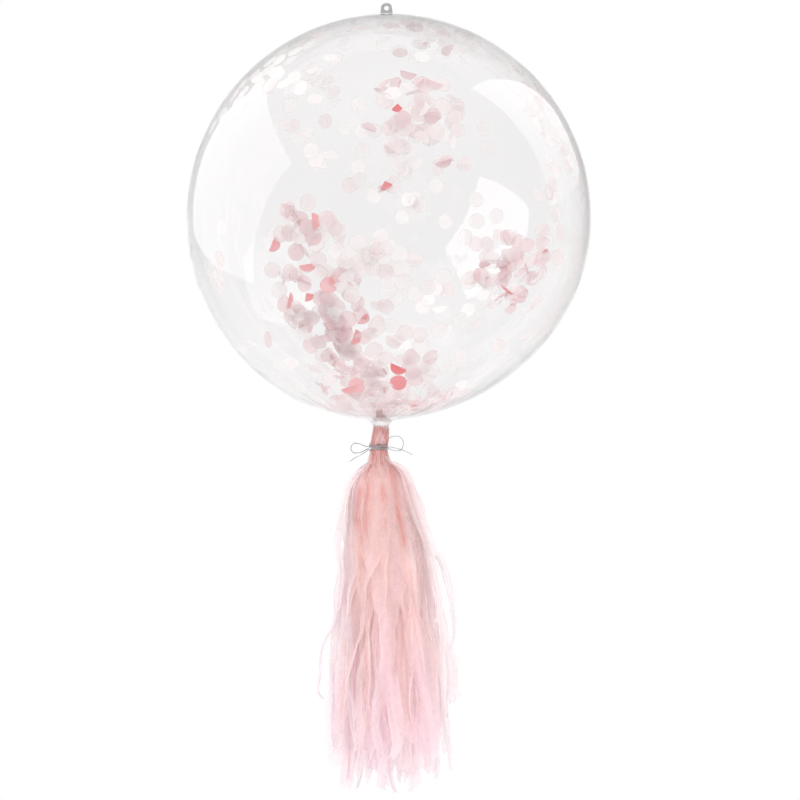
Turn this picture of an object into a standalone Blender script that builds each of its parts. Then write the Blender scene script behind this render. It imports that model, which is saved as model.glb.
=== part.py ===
"""A clear party balloon with a hanging eye on its crown and a tissue paper tassel tied round its neck.

Metres, +Z up. The origin is the centre of the hanging eye, the front looks along -Y and +X is to the right.
The balloon is sealed, so it is one solid. Each tissue sheet is one solid: a sleeve that is gathered round the neck,
and the strips that hang from it.
"""

import math
import random

import bmesh
import bpy
from mathutils import Vector

# Clearance between pieces that touch
GAP = 0.0003

# Hanging eye: an upright with a bore, on a pad that is bonded to the crown
EYE_BORE_RADIUS = 0.0036
EYE_WALL = 0.0048
EYE_THICKNESS = 0.0032
EYE_EDGE_ROUND = 0.0004
FOOT_WIDTH = 0.0190
FOOT_DROP = 0.0079
PAD_RADIUS = 0.0130
PAD_MIDDLE = 0.0013
PAD_EDGE = 0.0006

# Balloon
BALLOON_RADIUS = 0.3048
CROWN_FULLNESS = 1.006
BALLOON_SIDESTEP = 0.0038
NECK_SIDESTEP = -0.0121
NECK_FLARE_RADIUS = 0.0398
NECK_RADIUS = 0.0124
NECK_LENGTH = 0.0109
STEM_BELOW_TIE = 0.0120

# Gathered head of the tassel
HEAD_LENGTH = 0.0545
HEAD_TOP_RADIUS = 0.0117
HEAD_SHOULDER_RADIUS = 0.0130
HEAD_WAIST_RADIUS = 0.0121
HEAD_BELOW_RADIUS = 0.0136
HEAD_RIM_RADIUS = 0.0164
HEAD_LEAN = -0.0030
TIE_BELOW_TOP = 0.0302
TIE_SHOULDER = 0.0066
SHEET_WALL = 0.0013
RIM_STEP = 0.0026

# Strips of the tassel, each a small bunch of cut tissue
STRIP_THICKNESS = 0.0010
OUTER_STRIP_WIDTH = 0.0230
MIDDLE_STRIP_WIDTH = 0.0190
INNER_STRIP_WIDTH = 0.0145
STRIP_OPENS_OVER = 0.028
OUTER_STRIP_LENGTH = 0.415
MIDDLE_STRIP_LENGTH = 0.450
INNER_STRIP_LENGTH = 0.500
ARCH_REACH = 0.0330
ARCH_DROP = 0.0120
OUTER_FLARE = 0.0500
MIDDLE_REACH = 0.0120
MIDDLE_DROP = 0.0200
MIDDLE_FLARE = 0.0300
INNER_REACH = 0.0030
INNER_DROP = 0.0200
INNER_FLARE = 0.0150
FLARE_LENGTH = 0.400
FLARE_POWER = 0.8
BODY_DRIFT = 0.0120
BODY_DRIFT_OVER = 0.200
DEPTH_SHARE = 0.86
OUTER_STRIPS = 14
INNER_STRIPS = 8
STRIP_SHARE = 0.86
SWAY_SHARE = 0.06
OUTER_TWIST = 1.35
MIDDLE_TWIST = 0.95
INNER_TWIST = 0.70
TWIST_OVER = 0.160
BILLOW = 0.07
PLEAT_SHARE = 0.82
PEARL_FROM = math.radians(58.0)
PEARL_TO = math.radians(122.0)
OUTER_SEED = 100
INNER_SEED = 200

# Silver thread
THREAD_DIAMETER = 0.0012
THREAD_TURNS = 3.5
THREAD_PITCH = 0.0019

# Mesh fineness
EYE_ARC_STEPS = 12
EYE_SIDE_STEPS = 3
EYE_FOOT_STEPS = 6
PAD_STEPS = 20
BALLOON_SEGMENTS = 40
BALLOON_RINGS = 22
FLARE_RINGS = 5
STRIP_STATIONS = 10
STATION_POWER = 1.8
WIDEST_ARC = math.radians(17.0)
TURN_POINTS = 14
CORD_STEP = 0.0036
CROSSING_STEPS = 6

# Heights that follow from the sizes above
EYE_RADIUS = EYE_BORE_RADIUS + EYE_WALL
CROWN_Z = -(FOOT_DROP + PAD_MIDDLE + GAP)
BALLOON_CENTRE_Z = CROWN_Z - BALLOON_RADIUS * CROWN_FULLNESS
HEAD_TOP_Z = BALLOON_CENTRE_Z - BALLOON_RADIUS - NECK_LENGTH
TIE_Z = HEAD_TOP_Z - TIE_BELOW_TOP
RIM_Z = HEAD_TOP_Z - HEAD_LENGTH
STEM_END_Z = TIE_Z - STEM_BELOW_TIE
NECK_X = BALLOON_SIDESTEP + NECK_SIDESTEP
THREAD_RADIUS = THREAD_DIAMETER / 2


def clear_scene():
    for item in list(bpy.data.objects):
        bpy.data.objects.remove(item, do_unlink=True)


def make_material(name, colour, roughness, metallic=0.0, alpha=1.0):
    material = bpy.data.materials.new(name)
    material.use_nodes = True
    shader = material.node_tree.nodes["Principled BSDF"]
    shader.inputs["Base Color"].default_value = (*colour, 1.0)
    shader.inputs["Roughness"].default_value = roughness
    shader.inputs["Metallic"].default_value = metallic
    shader.inputs["Alpha"].default_value = alpha
    return material


def object_from(mesh_data, name, material, sharp_degrees=35.0):
    """Put finished bmesh geometry into a named object with outward faces and smooth shading."""
    bmesh.ops.recalc_face_normals(mesh_data, faces=mesh_data.faces)
    mesh = bpy.data.meshes.new(name)
    mesh_data.to_mesh(mesh)
    mesh_data.free()
    mesh.materials.append(material)
    mesh.shade_smooth()
    mesh.set_sharp_from_angle(angle=math.radians(sharp_degrees))
    item = bpy.data.objects.new(name, mesh)
    bpy.context.collection.objects.link(item)
    return item


def smooth_step(value):
    held = min(max(value, 0.0), 1.0)
    return held * held * (3.0 - 2.0 * held)


def blend(low, high, share):
    return low + (high - low) * share


def add_ring(mesh_data, centre_x, radius, height, segments):
    """A level ring of vertices, counted anticlockwise from +X."""
    ring = []
    for step in range(segments):
        angle = 2.0 * math.pi * step / segments
        place = (centre_x + radius * math.cos(angle), radius * math.sin(angle), height)
        ring.append(mesh_data.verts.new(place))
    return ring


def join_rings(mesh_data, upper, lower):
    count = len(upper)
    for step in range(count):
        after = (step + 1) % count
        mesh_data.faces.new((upper[step], upper[after], lower[after], lower[step]))


def close_ring(mesh_data, ring, tip):
    """Fan the faces from a ring to one vertex on its axis."""
    count = len(ring)
    for step in range(count):
        mesh_data.faces.new((ring[step], ring[(step + 1) % count], tip))


def crown_height(x, y):
    """Height of the balloon's skin above a point near its crown."""
    away = ((x - BALLOON_SIDESTEP) ** 2 + y ** 2) / BALLOON_RADIUS ** 2
    return BALLOON_CENTRE_Z + BALLOON_RADIUS * CROWN_FULLNESS * math.sqrt(1.0 - away)


def neck_axis_x(z):
    """Where the axis of the neck and of the tassel's head lies at a height."""
    lean = smooth_step((HEAD_TOP_Z - z) / TIE_BELOW_TOP)
    return NECK_X + HEAD_LEAN * lean


# Hanging eye


def eye_outline():
    """Outline of the upright from its right side over the top and back along the foot, as (x, z)."""
    foot_z = CROWN_Z + PAD_MIDDLE / 2
    foot_x = FOOT_WIDTH / 2
    points = []
    for step in range(EYE_ARC_STEPS):
        angle = math.pi * step / EYE_ARC_STEPS
        points.append((EYE_RADIUS * math.cos(angle), EYE_RADIUS * math.sin(angle)))
    for step in range(EYE_SIDE_STEPS):
        share = step / EYE_SIDE_STEPS
        points.append((-blend(EYE_RADIUS, foot_x, share), foot_z * share))
    for step in range(EYE_FOOT_STEPS):
        points.append((blend(-foot_x, foot_x, step / EYE_FOOT_STEPS), foot_z))
    for step in range(EYE_SIDE_STEPS):
        share = 1.0 - step / EYE_SIDE_STEPS
        points.append((blend(EYE_RADIUS, foot_x, share), foot_z * share))
    return points


def build_upright(material):
    """The flat upright, bored through along Y."""
    mesh_data = bmesh.new()
    faces_y = (-EYE_THICKNESS / 2, EYE_THICKNESS / 2)
    outline = eye_outline()
    rims = []
    for y in faces_y:
        outer = [mesh_data.verts.new((x, y, z)) for x, z in outline]
        bore = []
        for x, z in outline:
            angle = math.atan2(z, x)
            place = (EYE_BORE_RADIUS * math.cos(angle), y, EYE_BORE_RADIUS * math.sin(angle))
            bore.append(mesh_data.verts.new(place))
        rims.append((outer, bore))
    (front_outer, front_bore), (back_outer, back_bore) = rims
    join_rings(mesh_data, front_outer, front_bore)
    join_rings(mesh_data, front_bore, back_bore)
    join_rings(mesh_data, back_bore, back_outer)
    join_rings(mesh_data, back_outer, front_outer)
    return object_from(mesh_data, "hanging_eye", material, 30.0)


def build_pad(material):
    """The round pad under the upright, dished to the balloon's crown."""
    mesh_data = bmesh.new()
    shares = (0.5, 0.8, 1.0)
    tops = []
    bottoms = []
    for share in shares:
        radius = PAD_RADIUS * share
        thickness = PAD_MIDDLE if share < 1.0 else PAD_EDGE
        top = add_ring(mesh_data, 0.0, radius, 0.0, PAD_STEPS)
        bottom = add_ring(mesh_data, 0.0, radius, 0.0, PAD_STEPS)
        for upper, lower in zip(top, bottom):
            lower.co.z = crown_height(lower.co.x, lower.co.y) + GAP
            upper.co.z = lower.co.z + thickness
        tops.append(top)
        bottoms.append(bottom)
    middle = crown_height(0.0, 0.0) + GAP
    close_ring(mesh_data, tops[0], mesh_data.verts.new((0.0, 0.0, middle + PAD_MIDDLE)))
    close_ring(mesh_data, bottoms[0], mesh_data.verts.new((0.0, 0.0, middle)))
    for inside, outside in zip(tops, tops[1:]):
        join_rings(mesh_data, inside, outside)
    for inside, outside in zip(bottoms, bottoms[1:]):
        join_rings(mesh_data, inside, outside)
    join_rings(mesh_data, tops[-1], bottoms[-1])
    pad = object_from(mesh_data, "eye_pad_cutter", material)
    pad.hide_render = True
    pad.display_type = "WIRE"
    return pad


def build_hanging_eye(material):
    upright = build_upright(material)
    rounding = upright.modifiers.new("edge_round", "BEVEL")
    rounding.width = EYE_EDGE_ROUND
    rounding.segments = 1
    rounding.limit_method = "ANGLE"
    rounding.angle_limit = math.radians(50.0)
    union = upright.modifiers.new("pad", "BOOLEAN")
    union.operation = "UNION"
    union.solver = "EXACT"
    union.object = build_pad(material)
    return upright


# Balloon


def balloon_profile():
    """Outline of the balloon below its crown, as (radius, height), down its side and along its neck."""
    profile = []
    for step in range(1, BALLOON_RINGS):
        angle = math.pi * step / BALLOON_RINGS
        rise = CROWN_FULLNESS if angle < math.pi / 2 else 1.0
        radius = BALLOON_RADIUS * math.sin(angle)
        if angle > math.pi / 2 and radius < NECK_FLARE_RADIUS:
            continue
        profile.append((radius, BALLOON_CENTRE_Z + BALLOON_RADIUS * rise * math.cos(angle)))
    start_angle = math.asin(NECK_FLARE_RADIUS / BALLOON_RADIUS)
    start_z = BALLOON_CENTRE_Z - BALLOON_RADIUS * math.cos(start_angle)
    film_end_z = HEAD_TOP_Z + NECK_LENGTH * 0.32
    slope = math.tan(start_angle)
    start = Vector((NECK_FLARE_RADIUS, start_z))
    inward = 0.45 * (NECK_FLARE_RADIUS - NECK_RADIUS)
    first_pull = start + Vector((-inward, -inward * slope))
    end = Vector((NECK_RADIUS, film_end_z))
    last_pull = end + Vector((0.0, 0.75 * (start_z - film_end_z)))
    for step in range(1, FLARE_RINGS + 1):
        share = step / FLARE_RINGS
        rest = 1.0 - share
        point = (
            start * rest ** 3
            + first_pull * 3.0 * rest ** 2 * share
            + last_pull * 3.0 * rest * share ** 2
            + end * share ** 3
        )
        profile.append((point.x, point.y))
    stem = stem_radius()
    profile.append((blend(NECK_RADIUS, stem, 0.35), blend(film_end_z, HEAD_TOP_Z, 0.55)))
    profile.append((stem, HEAD_TOP_Z - RIM_STEP / 2))
    profile.append((stem, TIE_Z))
    profile.append((stem, STEM_END_Z))
    return profile


def balloon_axis_x(z):
    """The balloon's middle moves aside towards its neck, more and more below its widest level."""
    depth = max(0.0, (BALLOON_CENTRE_Z - z) / BALLOON_RADIUS)
    return BALLOON_SIDESTEP + NECK_SIDESTEP * min(depth, 1.0) ** 2


def build_balloon(material):
    mesh_data = bmesh.new()
    crown = mesh_data.verts.new((BALLOON_SIDESTEP, 0.0, CROWN_Z))
    rings = []
    for radius, z in balloon_profile():
        middle = neck_axis_x(z) if z < HEAD_TOP_Z else balloon_axis_x(z)
        rings.append(add_ring(mesh_data, middle, radius, z, BALLOON_SEGMENTS))
    close_ring(mesh_data, rings[0], crown)
    for upper, lower in zip(rings, rings[1:]):
        join_rings(mesh_data, upper, lower)
    tip_z = STEM_END_Z - stem_radius() * 0.4
    tip = mesh_data.verts.new((neck_axis_x(tip_z), 0.0, tip_z))
    close_ring(mesh_data, rings[-1], tip)
    return object_from(mesh_data, "balloon", material)


# Tissue sheets


def head_levels(depth):
    """Levels of a gathered sheet, as (height, outer radius, inner radius). Depth 0 is the outermost sheet."""
    inset = depth * (SHEET_WALL + GAP)
    outline = (
        (HEAD_TOP_Z - depth * GAP * 2, HEAD_TOP_RADIUS),
        (TIE_Z + TIE_SHOULDER, HEAD_SHOULDER_RADIUS),
        (TIE_Z, HEAD_WAIST_RADIUS),
        (TIE_Z - TIE_SHOULDER, HEAD_BELOW_RADIUS),
        (RIM_Z, HEAD_RIM_RADIUS),
    )
    levels = [(z, radius - inset, radius - inset - SHEET_WALL) for z, radius in outline]
    if depth:
        z, outer, inner = levels[-1]
        levels.append((z - depth * RIM_STEP, outer, inner))
    return levels


def stem_radius():
    """The film's gathered stem fills the innermost sheet."""
    tightest = min(inner for z, outer, inner in head_levels(2))
    return (tightest - GAP) * math.cos(WIDEST_ARC / 2)


class Shell:
    """How far a strip stands off the tassel's axis as it drops."""

    def __init__(self, strips, reach, reach_drop, flare, width, length, twist):
        self.spacing = 2.0 * math.pi / strips
        self.twist = twist
        self.reach = reach
        self.reach_drop = reach_drop
        self.flare = flare
        self.width = width
        self.length = length

    def offset(self, drop):
        arch = self.reach * (1.0 - math.exp(-drop / self.reach_drop))
        return arch + self.flare * (drop / FLARE_LENGTH) ** FLARE_POWER


OUTER = Shell(
    OUTER_STRIPS, ARCH_REACH, ARCH_DROP, OUTER_FLARE, OUTER_STRIP_WIDTH, OUTER_STRIP_LENGTH, OUTER_TWIST
)
MIDDLE = Shell(
    OUTER_STRIPS, MIDDLE_REACH, MIDDLE_DROP, MIDDLE_FLARE, MIDDLE_STRIP_WIDTH, MIDDLE_STRIP_LENGTH, MIDDLE_TWIST
)
INNER = Shell(
    INNER_STRIPS, INNER_REACH, INNER_DROP, INNER_FLARE, INNER_STRIP_WIDTH, INNER_STRIP_LENGTH, INNER_TWIST
)


class Strip:
    """One hanging strip: where it leaves the head, and its own small departures from its shell."""

    def __init__(self, shell, angle, arc, seed):
        dice = random.Random(seed)
        self.shell = shell
        self.angle = angle
        self.half_arc = arc / 2
        self.fullness = dice.uniform(0.84, 1.0)
        self.length = shell.length * dice.uniform(0.80, 1.0)
        self.sway = SWAY_SHARE * shell.spacing * dice.uniform(0.4, 1.0)
        self.sway_length = dice.uniform(0.16, 0.30)
        self.sway_start = dice.uniform(0.0, 2.0 * math.pi)
        self.twist = shell.twist * dice.uniform(-1.0, 1.0)
        self.slant = dice.uniform(-0.6, 0.6)
        self.billow_start = dice.uniform(0.0, 2.0 * math.pi)

    def radius(self, drop, rim_radius):
        billow = BILLOW * math.sin(self.billow_start + 2.0 * math.pi * drop / self.sway_length)
        fullness = self.fullness + billow * smooth_step(drop / TWIST_OVER)
        return rim_radius + self.shell.offset(drop) * fullness

    def half_width(self, drop, rim_radius):
        """A strip is pleated at the head, opens as it drops, and leaves room for its neighbours."""
        pleated = 2.0 * self.half_arc * rim_radius
        opened = blend(pleated, self.shell.width, smooth_step(drop / STRIP_OPENS_OVER))
        room = self.shell.spacing * STRIP_SHARE * DEPTH_SHARE * self.radius(drop, rim_radius)
        return min(opened, room) / 2

    def centre(self, drop, rim_z, rim_radius):
        share = drop / FLARE_LENGTH
        radius = self.radius(drop, rim_radius)
        wave = self.sway * math.sin(self.sway_start + 2.0 * math.pi * drop / self.sway_length)
        angle = self.angle + wave * smooth_step(share * 2.0)
        squash = blend(1.0, DEPTH_SHARE, smooth_step(share * 3.0))
        drift = BODY_DRIFT * smooth_step(drop / BODY_DRIFT_OVER)
        x = neck_axis_x(rim_z) + drift + radius * math.sin(angle)
        return Vector((x, -radius * math.cos(angle) * squash, rim_z - drop))

    def corners(self, drop, rim_z, rim_radius):
        """The four corners of the strip's section: outer left and right, then inner right and left."""
        small = 0.0005
        here = self.centre(drop, rim_z, rim_radius)
        along = self.centre(drop + small, rim_z, rim_radius) - here
        along.normalize()
        sideways = Vector((math.cos(self.angle), math.sin(self.angle), 0.0))
        outward = along.cross(sideways)
        outward.normalize()
        sideways = outward.cross(along)
        turn = self.twist * smooth_step(drop / TWIST_OVER)
        across = sideways * math.cos(turn) + outward * math.sin(turn)
        facing = outward * math.cos(turn) - sideways * math.sin(turn)
        half_width = self.half_width(drop, rim_radius)
        half_thickness = STRIP_THICKNESS / 2
        left = here - across * half_width
        right = here + across * half_width
        if drop >= self.length * 0.999:
            left += along * self.slant * half_width
            right -= along * self.slant * half_width
        return (
            left + facing * half_thickness,
            right + facing * half_thickness,
            right - facing * half_thickness,
            left - facing * half_thickness,
        )


def ring_layout(strips):
    """Corner angles round a sleeve, and for each arc between two of them the strip that hangs there, or None."""
    corners = []
    owners = []
    ordered = sorted(strips, key=lambda strip: strip.angle)
    for index, strip in enumerate(ordered):
        follower = ordered[(index + 1) % len(ordered)]
        corners.append(strip.angle - strip.half_arc)
        owners.append(strip)
        slit_start = strip.angle + strip.half_arc
        slit_end = follower.angle - follower.half_arc
        if slit_end < slit_start:
            slit_end += 2.0 * math.pi
        parts = max(1, math.ceil((slit_end - slit_start) / WIDEST_ARC))
        for part in range(parts):
            corners.append(blend(slit_start, slit_end, part / parts))
            owners.append(None)
    return corners, owners


def head_point(z, radius, angle):
    return (neck_axis_x(z) + radius * math.sin(angle), -radius * math.cos(angle), z)


def build_sheet(name, depth, strips, material):
    """One tissue sheet as one closed solid: the sleeve round the neck and every strip that hangs from it."""
    mesh_data = bmesh.new()
    corners, owners = ring_layout(strips)
    levels = head_levels(depth)
    outer_rings = []
    inner_rings = []
    for z, outer, inner in levels:
        outer_rings.append([mesh_data.verts.new(head_point(z, outer, angle)) for angle in corners])
        inner_rings.append([mesh_data.verts.new(head_point(z, inner, angle)) for angle in corners])
    for upper, lower in zip(outer_rings, outer_rings[1:]):
        join_rings(mesh_data, upper, lower)
    for upper, lower in zip(inner_rings, inner_rings[1:]):
        join_rings(mesh_data, upper, lower)
    join_rings(mesh_data, outer_rings[0], inner_rings[0])
    rim_z, rim_outer, rim_inner = levels[-1]
    rim_radius = (rim_outer + rim_inner) / 2
    count = len(corners)
    for index, strip in enumerate(owners):
        after = (index + 1) % count
        section = (
            outer_rings[-1][index],
            outer_rings[-1][after],
            inner_rings[-1][after],
            inner_rings[-1][index],
        )
        if strip:
            for station in range(1, STRIP_STATIONS + 1):
                drop = strip.length * (station / STRIP_STATIONS) ** STATION_POWER
                places = strip.corners(drop, rim_z, rim_radius)
                lower = [mesh_data.verts.new(place) for place in places]
                join_rings(mesh_data, section, lower)
                section = lower
        mesh_data.faces.new(section)
    bmesh.ops.triangulate(mesh_data, faces=mesh_data.faces)
    return object_from(mesh_data, name, material, 60.0)


def build_tassel():
    """Peach in front and behind, pearl at the sides, and pink within. Both outer sheets reach two shells."""
    peach = make_material("peach_tissue", (0.90, 0.56, 0.52), 0.85)
    pearl = make_material("pearl_tissue", (0.86, 0.76, 0.80), 0.80)
    pink = make_material("pink_tissue", (0.88, 0.62, 0.66), 0.85)
    spacing = OUTER.spacing / 2
    peach_strips = []
    pearl_strips = []
    for slot in range(2 * OUTER_STRIPS):
        angle = slot * spacing
        if angle > math.pi:
            angle -= 2.0 * math.pi
        shell = OUTER if slot % 2 == 0 else MIDDLE
        at_side = PEARL_FROM < abs(angle) < PEARL_TO
        sheet = pearl_strips if at_side else peach_strips
        sheet.append(Strip(shell, angle, spacing * PLEAT_SHARE, OUTER_SEED + slot))
    pink_strips = []
    for slot in range(INNER_STRIPS):
        angle = (slot + 0.5) * INNER.spacing
        pink_strips.append(Strip(INNER, angle, INNER.spacing * PLEAT_SHARE / 2, INNER_SEED + slot))
    build_sheet("peach_tissue_sheet", 0, peach_strips, peach)
    build_sheet("pearl_tissue_sheet", 1, pearl_strips, pearl)
    build_sheet("pink_tissue_sheet", 2, pink_strips, pink)


# Silver thread


def head_radius(z):
    """Outer radius of the gathered head at a height."""
    levels = head_levels(0)
    for (upper_z, upper, _), (lower_z, lower, _) in zip(levels, levels[1:]):
        if z >= lower_z:
            return blend(upper, lower, min(max((upper_z - z) / (upper_z - lower_z), 0.0), 1.0))
    return levels[-1][1]


def wound_radius(z):
    """Radius of the thread's centreline where it is wound on the head."""
    widest = max(head_radius(z + THREAD_RADIUS), head_radius(z - THREAD_RADIUS))
    return widest + GAP + THREAD_RADIUS


def smooth_route(points, step):
    """Points at even steps along a smooth curve through a route's own points."""
    fine = []
    padded = [points[0] * 2.0 - points[1], *points, points[-1] * 2.0 - points[-2]]
    parts = 24
    for before, start, end, after in zip(padded, padded[1:], padded[2:], padded[3:]):
        for part in range(parts):
            t = part / parts
            fine.append(0.5 * (
                2.0 * start
                + (end - before) * t
                + (2.0 * before - 5.0 * start + 4.0 * end - after) * t ** 2
                + (3.0 * start - before - 3.0 * end + after) * t ** 3
            ))
    fine.append(points[-1].copy())
    total = sum((b - a).length for a, b in zip(fine, fine[1:]))
    count = max(2, round(total / step))
    even = [fine[0]]
    walked = 0.0
    for a, b in zip(fine, fine[1:]):
        stretch = (b - a).length
        while len(even) < count and walked + stretch >= total * len(even) / count:
            share = (total * len(even) / count - walked) / stretch
            even.append(a.lerp(b, share))
        walked += stretch
    even.append(fine[-1])
    return even


def cord_object(name, points, material):
    """A round thread along points, as a curve with filled ends."""
    curve = bpy.data.curves.new(name, "CURVE")
    curve.dimensions = "3D"
    curve.bevel_depth = THREAD_RADIUS
    curve.bevel_resolution = 2
    curve.use_fill_caps = True
    curve.twist_mode = "MINIMUM"
    spline = curve.splines.new("POLY")
    spline.points.add(len(points) - 1)
    for target, place in zip(spline.points, points):
        target.co = (*place, 1.0)
    curve.materials.append(material)
    item = bpy.data.objects.new(name, curve)
    bpy.context.collection.objects.link(item)
    return item


def winding_points():
    points = []
    count = round(THREAD_TURNS * TURN_POINTS)
    for step in range(count + 1):
        turned = step / TURN_POINTS
        z = TIE_Z + THREAD_PITCH * (THREAD_TURNS / 2 - turned)
        angle = 2.0 * math.pi * (turned - 0.25)
        radius = wound_radius(z) / math.cos(math.pi / TURN_POINTS)
        points.append(Vector(head_point(z, radius, angle)))
    return points


def winding_outside(z):
    """Radius of the outside of the winding near a height."""
    widest = max(wound_radius(z + THREAD_PITCH), wound_radius(z - THREAD_PITCH))
    return widest / math.cos(math.pi / TURN_POINTS) + THREAD_RADIUS


def over_winding(start, end, start_rise, end_rise):
    """Points of a strand that crosses over the winding, from one angle round from the front to another."""
    points = []
    for step in range(CROSSING_STEPS + 1):
        share = step / CROSSING_STEPS
        z = TIE_Z + blend(start_rise, end_rise, share)
        radius = winding_outside(z) + GAP + THREAD_RADIUS
        points.append(Vector(head_point(z, radius, math.radians(blend(start, end, share)))))
    return points


def at_winding(degrees, rise):
    """Where a strand's end meets the outside of the winding."""
    z = TIE_Z + rise
    return Vector(head_point(z, winding_outside(z) + GAP, math.radians(degrees)))


def beside_head(degrees, rise):
    """A point of a strand that lies against the head, above the winding."""
    z = TIE_Z + rise
    return Vector(head_point(z, wound_radius(z) + GAP, math.radians(degrees)))


def in_air(right, forward, rise):
    """A point of a free strand, measured from the middle of the winding."""
    return Vector((neck_axis_x(TIE_Z) + right, -forward, TIE_Z + rise))


def left_bow_route():
    """From the right tail's tip over the winding and round the left loop."""
    return [
        in_air(0.0507, 0.0120, -0.0119),
        in_air(0.0410, 0.0122, -0.0063),
        in_air(0.0338, 0.0122, -0.0038),
        in_air(0.0230, 0.0120, -0.0008),
        *over_winding(60.0, -60.0, 0.0010, 0.0002),
        in_air(-0.0220, 0.0070, 0.0021),
        in_air(-0.0288, 0.0066, 0.0050),
        in_air(-0.0365, 0.0062, 0.0061),
        in_air(-0.0409, 0.0058, 0.0027),
        in_air(-0.0424, 0.0054, -0.0020),
        in_air(-0.0391, 0.0050, -0.0079),
        in_air(-0.0330, 0.0046, -0.0086),
        in_air(-0.0260, 0.0042, -0.0070),
        in_air(-0.0206, 0.0036, -0.0043),
        at_winding(-80.0, -0.0018),
    ]


def right_bow_route():
    """From the left tail's tip over the winding, round the right loop and behind the head."""
    return [
        in_air(-0.0442, 0.0080, -0.0216),
        in_air(-0.0365, 0.0086, -0.0161),
        in_air(-0.0270, 0.0092, -0.0112),
        in_air(-0.0190, 0.0096, -0.0062),
        *over_winding(-50.0, 62.0, -0.0026, -0.0018),
        in_air(0.0200, 0.0058, -0.0042),
        in_air(0.0265, 0.0050, -0.0056),
        in_air(0.0330, 0.0046, -0.0040),
        in_air(0.0360, 0.0042, 0.0010),
        in_air(0.0366, 0.0036, 0.0085),
        in_air(0.0320, 0.0028, 0.0150),
        in_air(0.0252, 0.0016, 0.0168),
        in_air(0.0185, -0.0010, 0.0155),
        beside_head(112.0, 0.0120),
        beside_head(140.0, 0.0080),
        beside_head(165.0, 0.0050),
    ]


def build_tie():
    silver = make_material("silver_thread", (0.62, 0.62, 0.64), 0.35, metallic=0.9)
    cord_object("tie_winding", winding_points(), silver)
    cord_object("tie_left_bow", smooth_route(left_bow_route(), CORD_STEP), silver)
    cord_object("tie_right_bow", smooth_route(right_bow_route(), CORD_STEP), silver)


def main():
    clear_scene()
    build_hanging_eye(make_material("clear_plastic", (0.62, 0.62, 0.62), 0.25, alpha=0.9))
    build_balloon(make_material("clear_film", (0.94, 0.93, 0.93), 0.05, alpha=0.3))
    build_tassel()
    build_tie()


main()
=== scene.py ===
"""The looks of a clear confetti balloon with a tissue paper tassel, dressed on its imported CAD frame.

Metres, +Z up. The origin is the centre of the hanging eye, the front looks along -Y and +X is to the right.
"""
import math
import random

import bmesh
import bpy
import numpy as np
from mathutils import Matrix, Vector


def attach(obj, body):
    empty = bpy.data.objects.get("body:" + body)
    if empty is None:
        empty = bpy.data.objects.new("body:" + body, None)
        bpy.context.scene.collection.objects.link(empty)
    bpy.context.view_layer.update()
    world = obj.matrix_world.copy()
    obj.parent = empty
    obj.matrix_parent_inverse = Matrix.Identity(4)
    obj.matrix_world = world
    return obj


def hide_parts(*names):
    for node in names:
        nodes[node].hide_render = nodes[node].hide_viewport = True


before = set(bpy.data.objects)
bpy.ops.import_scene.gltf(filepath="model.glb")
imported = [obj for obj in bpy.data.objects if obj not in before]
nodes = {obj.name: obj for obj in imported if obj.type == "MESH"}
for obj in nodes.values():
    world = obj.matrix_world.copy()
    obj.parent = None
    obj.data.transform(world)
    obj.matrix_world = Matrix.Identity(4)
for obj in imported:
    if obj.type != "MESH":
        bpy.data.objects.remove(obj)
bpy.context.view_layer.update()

FULL_TURN = 2.0 * math.pi

# The turn that the starts of a strip's and a head's waves are drawn from
WAVE_TURN = 6.28

# Sizes that the CAD source gives, repeated here
GAP = 0.0003
FOOT_DROP = 0.0079
PAD_MIDDLE = 0.0013
BALLOON_RADIUS = 0.3048
CROWN_FULLNESS = 1.006
BALLOON_SIDESTEP = 0.0038
NECK_SIDESTEP = -0.0121
NECK_FLARE_RADIUS = 0.0398
NECK_RADIUS = 0.0124
NECK_LENGTH = 0.0109
STEM_RADIUS = 0.0074
STEM_BELOW_TIE = 0.0120
HEAD_LENGTH = 0.0545
HEAD_TOP_RADIUS = 0.0117
HEAD_SHOULDER_RADIUS = 0.0130
HEAD_WAIST_RADIUS = 0.0121
HEAD_BELOW_RADIUS = 0.0136
HEAD_RIM_RADIUS = 0.0164
HEAD_LEAN = -0.0030
TIE_BELOW_TOP = 0.0302
TIE_SHOULDER = 0.0066
FLARE_LENGTH = 0.400
FLARE_POWER = 0.8
BODY_DRIFT = 0.0120
BODY_DRIFT_OVER = 0.200
DEPTH_SHARE = 0.86
THREAD_DIAMETER = 0.0012
THREAD_RADIUS = THREAD_DIAMETER / 2
THREAD_TURNS = 3.5
THREAD_PITCH = 0.0019
TURN_POINTS = 14
CROSSING_STEPS = 6

CROWN_Z = -(FOOT_DROP + PAD_MIDDLE + GAP)
BALLOON_CENTRE_Z = CROWN_Z - BALLOON_RADIUS * CROWN_FULLNESS
HEAD_TOP_Z = BALLOON_CENTRE_Z - BALLOON_RADIUS - NECK_LENGTH
TIE_Z = HEAD_TOP_Z - TIE_BELOW_TOP
RIM_Z = HEAD_TOP_Z - HEAD_LENGTH
STEM_END_Z = TIE_Z - STEM_BELOW_TIE
NECK_X = BALLOON_SIDESTEP + NECK_SIDESTEP

# The photograph's frame: metres to a pixel, and the pixel where the origin lies
PIXEL = 0.001508
ORIGIN_PIXEL = (386.5, 8.2)
IMAGE_SIDE = 800


def from_pixel(across, down, far=1.0):
    """The x and z that show at a pixel, at a share of the camera's distance from the origin's plane."""
    middle = IMAGE_SIDE / 2
    x = middle - ORIGIN_PIXEL[0] + (across - middle) * far
    z = ORIGIN_PIXEL[1] - middle + (middle - down) * far
    return x * PIXEL, z * PIXEL


def smooth_step(value):
    """0 up to 0, 1 from 1, and smooth between them."""
    held = min(max(value, 0.0), 1.0)
    return held * held * (3.0 - 2.0 * held)


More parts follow.
